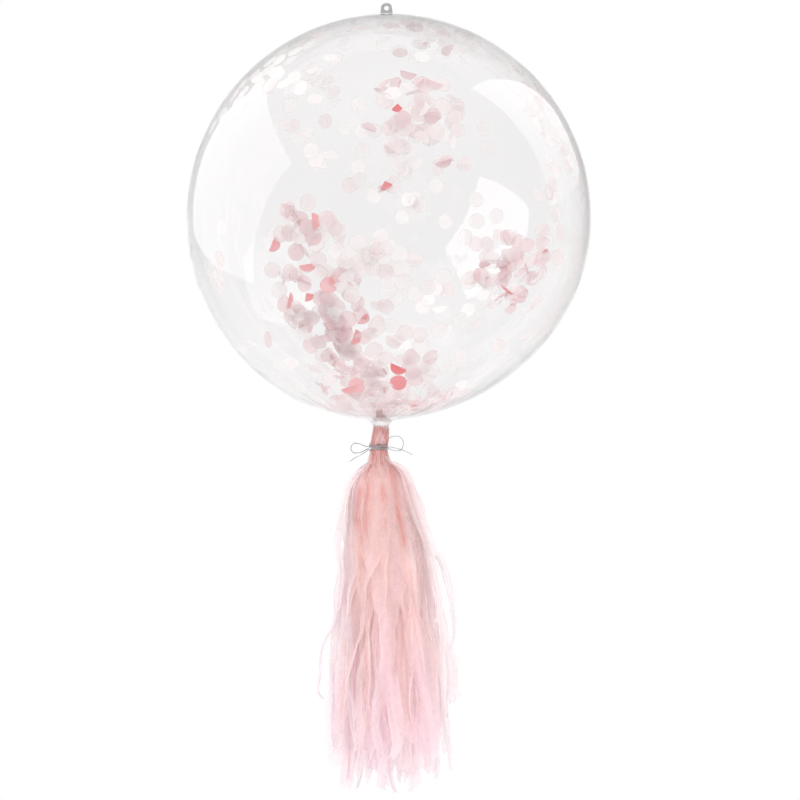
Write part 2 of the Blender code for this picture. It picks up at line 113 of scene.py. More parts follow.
def blend(low, high, share):
    """The value at a share of the way from one to another."""
    return low + (high - low) * share


def any_angle(dice):
    """An angle drawn from a full turn."""
    return dice.uniform(0.0, FULL_TURN)


def neck_axis_x(z):
    """Where the axis of the neck and of the tassel's head lies at a height."""
    return NECK_X + HEAD_LEAN * smooth_step((HEAD_TOP_Z - z) / TIE_BELOW_TOP)


def balloon_axis_x(z):
    """The balloon's middle moves aside towards its neck, more and more below its widest level."""
    depth = max(0.0, (BALLOON_CENTRE_Z - z) / BALLOON_RADIUS)
    return BALLOON_SIDESTEP + NECK_SIDESTEP * min(depth, 1.0) ** 2


# Camera


CAMERA_DISTANCE = 6.5
SENSOR = 36.0


def build_camera():
    """A camera straight in front, whose picture has the photograph's scale and middle."""
    middle_x, middle_z = from_pixel(IMAGE_SIDE / 2, IMAGE_SIDE / 2)
    data = bpy.data.cameras.new("camera")
    data.sensor_width = SENSOR
    data.lens = SENSOR * CAMERA_DISTANCE / (IMAGE_SIDE * PIXEL)
    data.clip_end = 40.0
    camera = bpy.data.objects.new("camera", data)
    camera.location = (middle_x, -CAMERA_DISTANCE, middle_z)
    camera.rotation_euler = (math.radians(90.0), 0.0, 0.0)
    bpy.context.scene.collection.objects.link(camera)
    bpy.context.scene.camera = camera


build_camera()


# Shader nodes, written as expressions


class Wire:
    """A node's output socket, with the operators that add Math nodes."""

    def __init__(self, desk, socket):
        self.desk = desk
        self.socket = socket

    def maths(self, operation, first, second=0.0, third=0.0):
        """A Math node on up to three values."""
        settings = {"operation": operation}
        return self.desk.add("Math", settings, {0: first, 1: second, 2: third})

    def __add__(self, other):
        return self.maths("ADD", self, other)

    def __radd__(self, other):
        return self.maths("ADD", other, self)

    def __sub__(self, other):
        return self.maths("SUBTRACT", self, other)

    def __rsub__(self, other):
        return self.maths("SUBTRACT", other, self)

    def __mul__(self, other):
        return self.maths("MULTIPLY", self, other)

    def __rmul__(self, other):
        return self.maths("MULTIPLY", other, self)

    def __truediv__(self, other):
        return self.maths("DIVIDE", self, other)

    def __pow__(self, other):
        return self.maths("POWER", self, other)

    def __gt__(self, other):
        return self.maths("GREATER_THAN", self, other)

    def __lt__(self, other):
        return self.maths("LESS_THAN", self, other)

    def smooth(self, low, high):
        """0 below low, 1 above high, and smooth between them."""
        settings = {"interpolation_type": "SMOOTHSTEP"}
        return self.desk.add("MapRange", settings, {0: self, 1: low, 2: high, 3: 0.0, 4: 1.0})


class Desk:
    """A node tree that nodes are laid out on."""

    def __init__(self, tree):
        self.tree = tree
        tree.nodes.clear()

    def feed(self, socket, value):
        """Give a socket a wire, a colour or a plain value."""
        if isinstance(value, Wire):
            self.tree.links.new(value.socket, socket)
        elif isinstance(value, tuple) and socket.type == "RGBA" and len(value) == 3:
            socket.default_value = (*value, 1.0)
        else:
            socket.default_value = value

    def add(self, kind, settings=None, sockets=None, out=0):
        """A node of a kind, with its settings and its sockets' values, as the wire from an output."""
        made = self.tree.nodes.new("ShaderNode" + kind)
        for name, value in (settings or {}).items():
            if name == "stops":
                ramp = made.color_ramp
                while len(ramp.elements) < len(value):
                    ramp.elements.new(0.5)
                for stop, (place, colour) in zip(ramp.elements, value):
                    stop.position = place
                    stop.color = (*colour, 1.0)
            else:
                setattr(made, name, value)
        for name, value in (sockets or {}).items():
            self.feed(made.inputs[name], value)
        return Wire(self, made.outputs[out])

    def mix(self, share, first, second, mode="MIX"):
        """A colour mixed from two others."""
        settings = {"data_type": "RGBA", "blend_type": mode}
        return self.add("Mix", settings, {0: share, 6: first, 7: second}, 2)

    def noise(self, where, scale, detail=2.0, roughness=0.5):
        """Soft noise from 0 to 1."""
        sockets = {"Vector": where, "Scale": scale, "Detail": detail, "Roughness": roughness}
        return self.add("TexNoise", None, sockets)

    def here(self, output="Object"):
        """Where on the piece a point lies."""
        return self.add("TexCoord", None, None, output)

    def part(self, vector, axis):
        """One coordinate of a vector."""
        return self.add("SeparateXYZ", None, {0: vector}, axis)

    def towards(self, vector, direction):
        """How far a vector goes in a direction."""
        return self.add("VectorMath", {"operation": "DOT_PRODUCT"}, {0: vector, 1: direction}, "Value")

    def ray(self, question):
        """What the light path says of the ray at hand."""
        return self.add("LightPath", None, None, question)

    def stretched(self, where, scale):
        """A place for a pattern that is drawn out along one axis."""
        return self.add("Mapping", None, {"Vector": where, "Scale": scale})

    def bump(self, height, strength, distance):
        return self.add("Bump", None, {"Height": height, "Strength": strength, "Distance": distance})

    def value(self, name):
        """A number that the mesh carries as an attribute."""
        return self.add("Attribute", {"attribute_name": name}, None, "Fac")

    def mix_shaders(self, share, first, second):
        return self.add("MixShader", None, {0: share, 1: first, 2: second})

    def thinned(self, cover, surface):
        """A surface that hides only part of what is behind it."""
        clear = self.add("BsdfTransparent")
        self.finish(self.mix_shaders(cover, clear, surface))

    def finish(self, surface, output="OutputMaterial"):
        """End the tree in a surface."""
        made = self.tree.nodes.new("ShaderNode" + output)
        self.feed(made.inputs["Surface"], surface)


def new_material(name):
    """A material and the desk for its nodes."""
    material = bpy.data.materials.new(name)
    material.use_nodes = True
    return material, Desk(material.node_tree)


def film_material():
    """Clear balloon film: thin, glossy, drawn into faint streaks where it is stretched."""
    material, desk = new_material("clear_film")
    where = desk.here()
    broad = desk.noise(desk.stretched(where, (1.0, 1.0, 2.6)), 5.0, 2.0, 0.45)
    fine = desk.noise(desk.stretched(where, (1.0, 1.0, 3.4)), 26.0, 3.0, 0.5)
    high = desk.part(where, "Z")
    drawn = 0.35 + 0.65 * high.smooth(BALLOON_CENTRE_Z, BALLOON_CENTRE_Z - BALLOON_RADIUS)
    aside = desk.part(where, "X") - NECK_X
    round_neck = aside.maths("ARCTAN2", desk.part(where, "Y"), aside)
    pleat = aside.maths("SINE", 28.0 * round_neck + 9.0 * broad)
    pleat = pleat * high.smooth(HEAD_TOP_Z + 0.010, HEAD_TOP_Z + 0.004)
    cosine, sine = (round_neck.maths(name, round_neck) for name in ("COSINE", "SINE"))
    spoke = desk.add("CombineXYZ", None, {0: cosine, 1: sine, 2: high * 2.0})
    low_down = high.smooth(BALLOON_CENTRE_Z - 0.22, BALLOON_CENTRE_Z - 0.29)
    wrinkle = desk.noise(spoke, 7.0, 2.0, 0.5) * low_down
    sockets = {
        "Base Color": (0.985, 0.978, 0.978),
        "Roughness": 0.015,
        "IOR": 1.42,
        "Transmission Weight": 1.0,
        "Normal": desk.bump((broad + fine * 0.20) * drawn + pleat * 0.08 + wrinkle * 0.9, 0.35, 0.004),
    }
    desk.finish(desk.add("BsdfPrincipled", None, sockets))
    return material


def moulded_material(name, light, dark):
    """Slightly cloudy moulded plastic, dark, and lighter at its pad and towards its top."""
    material, desk = new_material(name)
    where = desk.here()
    cloud = desk.noise(where, 220.0, 3.0, 0.6)
    speck = desk.noise(where, 1400.0, 2.0, 0.5)
    high = desk.part(where, "Z")
    pad = high.smooth(-0.0072, -0.0082)
    # Random cloud, and lighter by height: at the pad and towards the top
    shade = (cloud * 0.5 + high.smooth(0.0045, 0.0085) * 0.35 + pad * 0.9).smooth(0.15, 1.0)
    sockets = {
        "Base Color": desk.mix(shade, dark, light),
        "Roughness": 0.26 + 0.12 * cloud,
        "IOR": 1.49,
        "Coat Weight": 0.25,
        "Coat Roughness": 0.12,
        "Subsurface Weight": 0.15,
        "Subsurface Radius": (0.004, 0.004, 0.004),
        "Normal": desk.bump(speck, 0.12, 0.0004),
    }
    desk.finish(desk.add("BsdfPrincipled", None, sockets))
    return material


def tissue_material(name, deep, top, middle, tip, lit, cover, soft):
    """Thin tissue paper, whose colour drifts from deep through top and middle to tip down the strip, with
    painted shade and light in its creases and folds and a painted highlight along its edges.

    lit is the light that comes through it, cover how much it hides, soft how much less its edges hide."""
    material, desk = new_material(name)
    where = desk.here("UV")
    fall = desk.value("fall")
    shade = desk.value("shade")
    edge = desk.value("edge")
    fibre = desk.noise(desk.stretched(where, (1.0, 0.25, 1.0)), 900.0, 1.0, 0.6)
    cloud = desk.noise(where, 34.0, 1.0, 0.5)
    crinkle = desk.noise(desk.stretched(where, (1.0, 0.30, 1.0)), 150.0, 2.0, 0.55)
    crumple = desk.noise(desk.stretched(where, (1.0, 0.55, 1.0)), 62.0, 1.0, 0.5)
    # Painted shade along the crumple folds: the colour deepens a little there
    folded = (1.0 - crumple.maths("ABSOLUTE", crumple - 0.5) * 12.0).smooth(0.0, 1.0)
    head = 1.0 - fall.smooth(0.0, 0.04)
    # The shade attribute holds each strip's own tone and the painted shade and light of its creases, its
    # front folds and its head's pleats; the head's colour is also deeper
    drift = 0.14 + 0.90 * fall + (cloud - 0.5) * 0.34 + (shade - 0.5) * 0.50
    drift = drift - folded * 0.05 - 0.18 * head
    stops = [(0.0, deep), (0.20, top), (0.60, middle), (1.0, tip)]
    colour = desk.add("ValToRGB", {"stops": stops}, {0: drift})
    # Painted highlight: the strips' edges turn paler lower down
    colour = desk.mix(0.18 * edge.smooth(0.80, 1.0) * fall.smooth(0.1, 0.4), colour, (0.95, 0.90, 0.91))
    # Painted shade: darker in the valleys, more so at the head, and the whole head darker
    tone_and_fold_shade = (0.10 + 0.14 * head) * (shade - 0.5) * (1.0 - 0.6 * fall)
    tone = 0.97 - 0.10 * head + 0.05 * fibre + tone_and_fold_shade
    colour = desk.mix(1.0, colour, desk.add("CombineColor", None, {0: tone, 1: tone, 2: tone}), "MULTIPLY")
    bump = desk.bump(crinkle + 0.25 * fibre + 0.20 * folded, 0.40, 0.0009)
    sockets = {
        "Base Color": colour,
        "Roughness": 0.62 + 0.22 * cloud,
        "Specular IOR Level": 0.25,
        "Sheen Weight": 0.12,
        "Sheen Roughness": 0.45,
        "Normal": bump,
    }
    paper = desk.add("BsdfPrincipled", None, sockets)
    through = desk.add("BsdfTranslucent", None, {"Color": lit, "Normal": bump})
    shoulder = fall.smooth(0.03, 0.10) * (1.0 - fall.smooth(0.2, 0.6))
    uncut = fall.smooth(0.0, 0.03) * (1.0 - fall.smooth(0.24, 0.46))
    hidden = cover + 0.16 * (fibre - 0.5) + 0.20 * (cloud - 0.5) + 0.04 * folded
    hidden = hidden - 0.12 * shoulder + 0.06 - 0.08 * fall.smooth(0.40, 0.80)
    hidden = hidden - soft * edge.smooth(0.50, 1.0) * uncut
    desk.thinned(hidden, desk.mix_shaders(0.66, paper, through))
    return material


def confetti_material(name, colour, deep, lit, cover):
    """A cut disc of tissue, each with its own depth of colour, and painted shade where it is sheltered."""
    material, desk = new_material(name)
    where = desk.here()
    shade = desk.value("shade")
    cloud = desk.noise(where, 120.0, 1.0, 0.5)
    fibre = desk.noise(where, 1500.0, 1.0, 0.6)
    # Painted shade: a darker, greyer rim round each disc
    rim = desk.value("edge").smooth(0.84, 1.0)
    depth = (shade + 0.5 * (cloud - 0.5)).smooth(0.0, 1.0)
    sockets = {
        "Base Color": desk.mix(rim * 0.30, desk.mix(depth, colour, deep), (0.50, 0.44, 0.44)),
        "Roughness": 0.70 + 0.20 * fibre,
        "Specular IOR Level": 0.25,
        "Normal": desk.bump(fibre + cloud, 0.30, 0.0006),
    }
    paper = desk.add("BsdfPrincipled", None, sockets)
    through = desk.add("BsdfTranslucent", None, {"Color": lit})
    desk.thinned(cover + 0.12 * (cloud - 0.5), desk.mix_shaders(0.44, paper, through))
    return material


def thread_material():
    """Metallised thread of two plies, with painted shade between the plies, painted highlights along them,
    and painted light along each strand.
    """
    material, desk = new_material("silver_thread")
    where = desk.here("UV")
    turn = (desk.part(where, "X") * 2.0 + desk.part(where, "Y") * 640.0) * math.pi
    ply = turn.maths("COSINE", turn) * 0.5 + 0.5
    glint = desk.noise(desk.stretched(where, (2.0, 900.0, 1.0)), 1.0, 3.0, 0.6)
    painted_highlights = desk.noise(desk.stretched(where, (0.4, 95.0, 1.0)), 1.0, 1.0, 0.5).smooth(0.42, 0.56)
    # Painted shade between the plies, painted highlights along the thread, and each strand's painted light
    bright = ply.smooth(0.02, 0.50) * (0.10 + 0.62 * painted_highlights + 0.55 * desk.value("shine"))
    sockets = {
        "Base Color": desk.mix(bright, (0.06, 0.06, 0.065), (0.84, 0.84, 0.86)),
        "Metallic": 0.25 + 0.35 * glint,
        "Roughness": 0.24 + 0.30 * glint,
        "Normal": desk.bump(ply, 0.6, 0.0002),
    }
    desk.finish(desk.add("BsdfPrincipled", None, sockets))
    return material


CLEAR_FILM = film_material()
GREY_PLASTIC = moulded_material("clear_plastic", (0.66, 0.66, 0.665), (0.33, 0.33, 0.335))
SILVER = thread_material()

# Each tissue: deep, top, middle and tip colour (deep also serves the painted shade of its folds), the light
# through it, its cover and its edges' softness
TISSUES = {
    "peach": (
        (0.98, 0.45, 0.42), (0.97, 0.76, 0.73), (0.96, 0.79, 0.785), (0.88, 0.735, 0.83),
        (0.98, 0.88, 0.865), 0.64, 0.50,
    ),
    "pearl": (
        (0.96, 0.70, 0.69), (0.995, 0.88, 0.885), (0.985, 0.89, 0.91), (0.925, 0.845, 0.905),
        (0.995, 0.935, 0.94), 0.76, 0.12,
    ),
    "pink": (
        (0.985, 0.48, 0.46), (0.97, 0.745, 0.735), (0.955, 0.77, 0.785), (0.88, 0.73, 0.835),
        (0.98, 0.885, 0.905), 0.64, 0.50,
    ),
}
PEACH, PEARL, PINK = (tissue_material(name + "_tissue", *values) for name, values in TISSUES.items())

# Each colour of disc: its light and its deep tint, the deep one also carrying painted shade, the light
# through it, and its cover
CONFETTI_TINTS = {
    "white": ((0.91, 0.89, 0.885), (0.83, 0.79, 0.79), (0.93, 0.91, 0.905), 0.86),
    "faint": ((0.90, 0.85, 0.85), (0.85, 0.785, 0.785), (0.92, 0.885, 0.885), 0.50),
    "pale": ((0.85, 0.77, 0.77), (0.77, 0.66, 0.67), (0.87, 0.80, 0.80), 0.70),
    "pink": ((0.82, 0.68, 0.69), (0.75, 0.56, 0.58), (0.85, 0.715, 0.725), 0.74),
    "coral": ((0.85, 0.50, 0.51), (0.81, 0.36, 0.38), (0.89, 0.55, 0.56), 0.82),
    "deep": ((0.85, 0.33, 0.34), (0.79, 0.19, 0.21), (0.91, 0.41, 0.42), 0.92),
}
CONFETTI_COLOURS = {
    name: confetti_material(name + "_confetti", *values) for name, values in CONFETTI_TINTS.items()
}


# Mesh helpers


CURVE_PARTS = 24


def mesh_object(name, vertices, faces, material, corner_uv=None, values=None):
    """An object at the origin from lists of vertices and faces, with each vertex's UV and named numbers."""
    mesh = bpy.data.meshes.new(name)
    mesh.from_pydata(vertices, [], faces)
    if corner_uv is not None:
        layer = mesh.uv_layers.new(name="UVMap")
        loop_vertices = np.empty(len(mesh.loops), dtype=np.int32)
        mesh.loops.foreach_get("vertex_index", loop_vertices)
        layer.data.foreach_set("uv", np.asarray(corner_uv, dtype=np.float32)[loop_vertices].ravel())
    for label, numbers in (values or {}).items():
        attribute = mesh.attributes.new(label, "FLOAT", "POINT")
        attribute.data.foreach_set("value", np.asarray(numbers, dtype=np.float32))
    mesh.materials.append(material)
    mesh.shade_smooth()
    item = bpy.data.objects.new(name, mesh)
    bpy.context.scene.collection.objects.link(item)
    return item


def clear_selection():
    """Object mode with nothing selected, as an operator needs it."""
    if bpy.context.mode != "OBJECT":
        bpy.ops.object.mode_set(mode="OBJECT")
    bpy.ops.object.select_all(action="DESELECT")


def apply_modifiers(item):
    """Make what the modifiers show the piece's own mesh."""
    clear_selection()
    item.select_set(True)
    bpy.context.view_layer.objects.active = item
    for modifier in list(item.modifiers):
        bpy.ops.object.modifier_apply(modifier=modifier.name)


def smooth_route(points, step):
    """Points at even steps along a smooth curve through a route's own points."""
    fine = []
    padded = [points[0] * 2.0 - points[1], *points, points[-1] * 2.0 - points[-2]]
    for before, start, end, after in zip(padded, padded[1:], padded[2:], padded[3:]):
        for part in range(CURVE_PARTS):
            t = part / CURVE_PARTS
            fine.append(0.5 * (
                2.0 * start
                + (end - before) * t
                + (2.0 * before - 5.0 * start + 4.0 * end - after) * t ** 2
                + (3.0 * start - before - 3.0 * end + after) * t ** 3
            ))
    fine.append(points[-1].copy())
    total = sum((b - a).length for a, b in zip(fine, fine[1:]))
    count = max(2, round(total / step))
    even = [fine[0]]
    walked = 0.0
    for a, b in zip(fine, fine[1:]):
        stretch = (b - a).length
        while len(even) < count and walked + stretch >= total * len(even) / count:
            share = (total * len(even) / count - walked) / stretch
            even.append(a.lerp(b, share))
        walked += stretch
    even.append(fine[-1])
    return even


def route_length(points):
    """The length of a route from point to point."""
    return sum((b - a).length for a, b in zip(points, points[1:]))


# Silver thread


THREAD_SIDES = 12
PLY_PITCH = 0.0031
PLY_DEPTH = 0.10
THREAD_STEP = 0.0009
WINDING_STEPS = 48
KNOT_STEPS = 44
KNOT_HEIGHT = 0.0034
KNOT_DEPTH = 0.0012


def thread_tube(name, points, shine, radius=THREAD_RADIUS):
    """A two-ply thread along points: a section with two lobes that turns as it goes, closed at both ends.

    Its shine is painted light: how bright the strand looks at its first point and at its last."""
    tangents = []
    for index in range(len(points)):
        before = points[max(index - 1, 0)]
        after = points[min(index + 1, len(points) - 1)]
        tangents.append((after - before).normalized())
    side = tangents[0].orthogonal().normalized()
    vertices = []
    corner_uv = []
    faces = []
    walked = 0.0
    for index, (point, tangent) in enumerate(zip(points, tangents)):
        if index:
            walked += (point - points[index - 1]).length
        side = (side - tangent * side.dot(tangent)).normalized()
        other = tangent.cross(side)
        twist = FULL_TURN * walked / PLY_PITCH
        for step in range(THREAD_SIDES):
            angle = FULL_TURN * step / THREAD_SIDES
            reach = radius * (1.0 - PLY_DEPTH + PLY_DEPTH * math.cos(2.0 * (angle - twist / 2.0)))
            vertices.append(point + side * math.cos(angle) * reach + other * math.sin(angle) * reach)
            corner_uv.append((step / THREAD_SIDES, walked))
    for index in range(len(points) - 1):
        low = index * THREAD_SIDES
        for step in range(THREAD_SIDES):
            after = (step + 1) % THREAD_SIDES
            faces.append((low + step, low + after, low + THREAD_SIDES + after, low + THREAD_SIDES + step))
    last = (len(points) - 1) * THREAD_SIDES
    faces.append(tuple(range(THREAD_SIDES - 1, -1, -1)))
    faces.append(tuple(last + step for step in range(THREAD_SIDES)))
    shines = [blend(*shine, smooth_step(along / max(walked, THREAD_STEP))) for _, along in corner_uv]
    item = mesh_object(name, vertices, faces, SILVER, corner_uv, {"shine": shines})
    item.visible_glossy = False
    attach(item, "root")
    return item


def head_point(z, radius, angle):
    """A point round the axis of the neck and the head, 0 being the front."""
    return (neck_axis_x(z) + radius * math.sin(angle), -radius * math.cos(angle), z)


HEAD_OUTLINE = (
    (HEAD_TOP_Z, HEAD_TOP_RADIUS),
    (TIE_Z + TIE_SHOULDER, HEAD_SHOULDER_RADIUS),
    (TIE_Z, HEAD_WAIST_RADIUS),
    (TIE_Z - TIE_SHOULDER, HEAD_BELOW_RADIUS),
    (RIM_Z, HEAD_RIM_RADIUS),
)


def head_radius(z):
    """Outer radius of the gathered head at a height."""
    for (upper_z, upper), (lower_z, lower) in zip(HEAD_OUTLINE, HEAD_OUTLINE[1:]):
        if z >= lower_z:
            return blend(upper, lower, min(max((upper_z - z) / (upper_z - lower_z), 0.0), 1.0))
    return HEAD_OUTLINE[-1][1]


def wound_radius(z):
    """Radius of the thread's centreline where it is wound on the head."""
    widest = max(head_radius(z + THREAD_RADIUS), head_radius(z - THREAD_RADIUS))
    return widest + GAP + THREAD_RADIUS


def winding_outside(z):
    """Radius of the outside of the winding near a height."""
    widest = max(wound_radius(z + THREAD_PITCH), wound_radius(z - THREAD_PITCH))
    return widest / math.cos(math.pi / TURN_POINTS) + THREAD_RADIUS


def over_winding(start, end, start_rise, end_rise):
    """Points of a strand that crosses over the winding, from one angle round from the front to another."""
    points = []
    for step in range(CROSSING_STEPS + 1):
        share = step / CROSSING_STEPS
        z = TIE_Z + blend(start_rise, end_rise, share)
        radius = winding_outside(z) + GAP + THREAD_RADIUS
        points.append(Vector(head_point(z, radius, math.radians(blend(start, end, share)))))
    return points


def at_winding(degrees, rise):
    """Where a strand's end meets the outside of the winding."""
    z = TIE_Z + rise
    return Vector(head_point(z, winding_outside(z) + GAP, math.radians(degrees)))


def beside_head(degrees, rise):
    """A point of a strand that lies against the head, above the winding."""
    z = TIE_Z + rise
    return Vector(head_point(z, wound_radius(z) + GAP, math.radians(degrees)))


def in_air(right, forward, rise):
    """A point of a free strand, measured from the middle of the winding."""
    return Vector((neck_axis_x(TIE_Z) + right, -forward, TIE_Z + rise))


def left_bow_route():
    """From the right tail's tip over the winding and round the left loop."""
    return [
        in_air(0.0507, 0.0120, -0.0119),
        in_air(0.0410, 0.0122, -0.0063),
        in_air(0.0338, 0.0122, -0.0038),
        in_air(0.0230, 0.0120, -0.0008),
        *over_winding(60.0, -60.0, 0.0010, 0.0002),
        in_air(-0.0220, 0.0070, 0.0021),
        in_air(-0.0288, 0.0066, 0.0050),
        in_air(-0.0365, 0.0062, 0.0061),
        in_air(-0.0409, 0.0058, 0.0027),
        in_air(-0.0424, 0.0054, -0.0020),
        in_air(-0.0391, 0.0050, -0.0079),
        in_air(-0.0330, 0.0046, -0.0086),
        in_air(-0.0260, 0.0042, -0.0070),
        in_air(-0.0206, 0.0036, -0.0043),
        at_winding(-80.0, -0.0018),
    ]


def right_bow_route():
    """From the left tail's tip over the winding, round the right loop and behind the head."""
    return [
        in_air(-0.0442, 0.0080, -0.0216),
        in_air(-0.0365, 0.0086, -0.0161),
        in_air(-0.0270, 0.0092, -0.0112),
        in_air(-0.0190, 0.0096, -0.0062),
        *over_winding(-50.0, 62.0, -0.0026, -0.0018),
        in_air(0.0200, 0.0058, -0.0042),
        in_air(0.0265, 0.0050, -0.0056),
        in_air(0.0330, 0.0046, -0.0040),
        in_air(0.0360, 0.0042, 0.0010),
        in_air(0.0366, 0.0036, 0.0085),
        in_air(0.0320, 0.0028, 0.0150),
        in_air(0.0252, 0.0016, 0.0168),
        in_air(0.0185, -0.0010, 0.0155),
        beside_head(112.0, 0.0120),
        beside_head(140.0, 0.0080),
        beside_head(165.0, 0.0050),
    ]


def build_bow(name, route, node, shine):
    """One free stretch of the thread, from where it leaves the winding to its bare tail."""
    points = smooth_route(list(reversed(route)), THREAD_STEP)
    item = thread_tube(name, points, shine)
    route_length(points)
    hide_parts(node)


def build_winding():
    """The thread's turns round the gathered head, a little uneven."""
    dice = random.Random(31)
    count = round(THREAD_TURNS * WINDING_STEPS)
    wobble = [any_angle(dice) for _ in range(3)]
    points = []
    for step in range(count + 1):
        turned = step * THREAD_TURNS / count
        angle = FULL_TURN * (turned - 0.25)
        z = TIE_Z + THREAD_PITCH * (THREAD_TURNS / 2 - turned)
        z += 0.0015 * math.sin(angle * 0.62 + wobble[0]) + 0.0011 * math.sin(angle * 1.7 + wobble[1])
        out = wound_radius(z) + 0.0003 + 0.0004 * math.sin(angle * 1.31 + wobble[2])
        points.append(Vector(head_point(z, out, angle)))
    # Painted light along the winding, from its first point to its last
    item = thread_tube("tie_thread_winding", points, (0.0, 0.3))
    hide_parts("tie_winding")


def build_knot():
    """The knot of the bow: a turn over the crossing strands, and the upright cut end beside it."""
    points = []
    for step in range(KNOT_STEPS + 1):
        share = step / KNOT_STEPS
        angle = FULL_TURN * (0.15 + 1.6 * share)
        z = TIE_Z - 0.0004 + KNOT_HEIGHT * math.sin(angle)
        out = winding_outside(TIE_Z) + THREAD_RADIUS + KNOT_DEPTH * math.cos(angle) + 0.0008
        points.append(Vector(head_point(z, out, math.radians(-3.0 + 14.0 * share))))
    # Painted light along the knot and its cut end
    thread_tube("tie_thread_knot", points, (0.9, 0.1))
    stub = [
        at_winding(-76.0, -0.0008),
        at_winding(-74.0, 0.0022),
        at_winding(-70.0, 0.0048),
        at_winding(-64.0, 0.0068) + Vector((0.0, -0.0006, 0.0)),
    ]
    thread_tube("tie_thread_end", smooth_route(stub, THREAD_STEP), (0.0, 0.3))


# The last numbers are the painted light along each strand, from its first point to its last
build_bow("tie_thread_left", left_bow_route(), "tie_left_bow", (0.0, 1.2))
build_bow("tie_thread_right", right_bow_route(), "tie_right_bow", (1.1, 0.7))
build_winding()
build_knot()


# Balloon film


FILM_WALL = 0.0003
FILM_SEGMENTS = 180
FILM_RINGS = 84
MERGE_WITHIN = 0.000005
PLEATS = 21
PLEAT_DEPTH = 0.0015
PLEAT_FADES_OVER = 0.026
NECK_GRIP = 0.004

# The flare between the ball and the neck: its rings, how far up the neck it ends, and how straight it
# leaves the ball and meets the neck
FLARE_RINGS = 14
FLARE_END = 0.32
FLARE_LEAVES = 0.45
FLARE_MEETS = 0.75


def film_profile():
    """Outline of the film from just below its crown, as (radius, height)."""
    profile = []
    for step in range(1, FILM_RINGS):
        angle = math.pi * step / FILM_RINGS
        rise = CROWN_FULLNESS if angle < math.pi / 2 else 1.0
        radius = BALLOON_RADIUS * math.sin(angle)
        if angle > math.pi / 2 and radius < NECK_FLARE_RADIUS:
            continue
        profile.append((radius, BALLOON_CENTRE_Z + BALLOON_RADIUS * rise * math.cos(angle)))
    start_angle = math.asin(NECK_FLARE_RADIUS / BALLOON_RADIUS)
    start = Vector((NECK_FLARE_RADIUS, BALLOON_CENTRE_Z - BALLOON_RADIUS * math.cos(start_angle)))
    end = Vector((NECK_RADIUS, HEAD_TOP_Z + NECK_LENGTH * FLARE_END))
    inward = FLARE_LEAVES * (NECK_FLARE_RADIUS - NECK_RADIUS)
    first_pull = start + Vector((-inward, -inward * math.tan(start_angle)))
    last_pull = end + Vector((0.0, FLARE_MEETS * (start.y - end.y)))
    for step in range(1, FLARE_RINGS + 1):
        t = step / FLARE_RINGS
        rest = 1.0 - t
        point = start * rest ** 3 + first_pull * 3.0 * rest ** 2 * t
        point = point + last_pull * 3.0 * rest * t ** 2 + end * t ** 3
        profile.append((point.x, point.y))
    for share in (0.25, 0.5, 0.75, 1.0):
        top = (blend(NECK_RADIUS, STEM_RADIUS, share), blend(end.y, HEAD_TOP_Z - 0.0016, share))
        profile.append(top)
    profile.append((STEM_RADIUS, TIE_Z))
    profile.append((STEM_RADIUS, STEM_END_Z))
    return profile


def spin_profile(name, profile, top_z, bottom_z):
    """A closed shell of revolution: a point is extruded down the outline and spun round the axis."""
    clear_selection()
    bpy.ops.mesh.primitive_plane_add(size=0.01, location=(0.0, 0.0, top_z))
    item = bpy.context.object
    item.name = name
    bpy.ops.object.mode_set(mode="EDIT")
    bpy.ops.mesh.select_all(action="SELECT")
    bpy.ops.mesh.merge(type="CENTER")
    before = Vector((0.0, 0.0, top_z))
    for radius, z in [*profile, (0.0, bottom_z)]:
        place = Vector((radius, 0.0, z))
        bpy.ops.mesh.extrude_region_move(TRANSFORM_OT_translate={"value": place - before})
        before = place
    bpy.ops.mesh.select_all(action="SELECT")
    bpy.ops.mesh.spin(
        steps=FILM_SEGMENTS, angle=FULL_TURN, center=(0.0, 0.0, 0.0), axis=(0.0, 0.0, 1.0))
    bpy.ops.mesh.select_all(action="SELECT")
    bpy.ops.mesh.remove_doubles(threshold=MERGE_WITHIN)
    bpy.ops.mesh.normals_make_consistent(inside=False)
    bpy.ops.object.mode_set(mode="OBJECT")
    bpy.ops.object.transform_apply(location=True, rotation=True, scale=True)
    item.data.shade_smooth()
    return item


def pleat_film(mesh):
    """Move the lower film aside towards the neck, and gather it in pleats that die out up the balloon."""
    dice = random.Random(5)
    starts = [any_angle(dice) for _ in range(4)]
    flare_z = BALLOON_CENTRE_Z - BALLOON_RADIUS
    for vertex in mesh.vertices:
        place = vertex.co
        radius = math.hypot(place.x, place.y)
        angle = math.atan2(place.y, place.x)
        if radius > 0.0005 and place.z < BALLOON_CENTRE_Z:
            gather = math.exp(-max(radius - NECK_RADIUS, 0.0) / PLEAT_FADES_OVER)
            gather *= 1.0 - smooth_step((HEAD_TOP_Z - place.z) / NECK_GRIP)
            wave = math.sin(angle * PLEATS / 2 + 0.6 * math.sin(2.0 * angle + starts[0])) ** 2 - 0.5
            wave += 0.35 * math.sin(angle * 9.0 + starts[1]) + 0.2 * math.sin(angle * 5.0 + starts[2])
            depth = PLEAT_DEPTH * gather * wave
            slope = smooth_step((flare_z - place.z + 0.006) / 0.010)
            share = 1.0 + depth * slope / radius
            place.x *= share
            place.y *= share
            place.z += depth * (1.0 - slope) * 0.8
        middle = neck_axis_x(place.z) if place.z < HEAD_TOP_Z else balloon_axis_x(place.z)
        place.x += middle


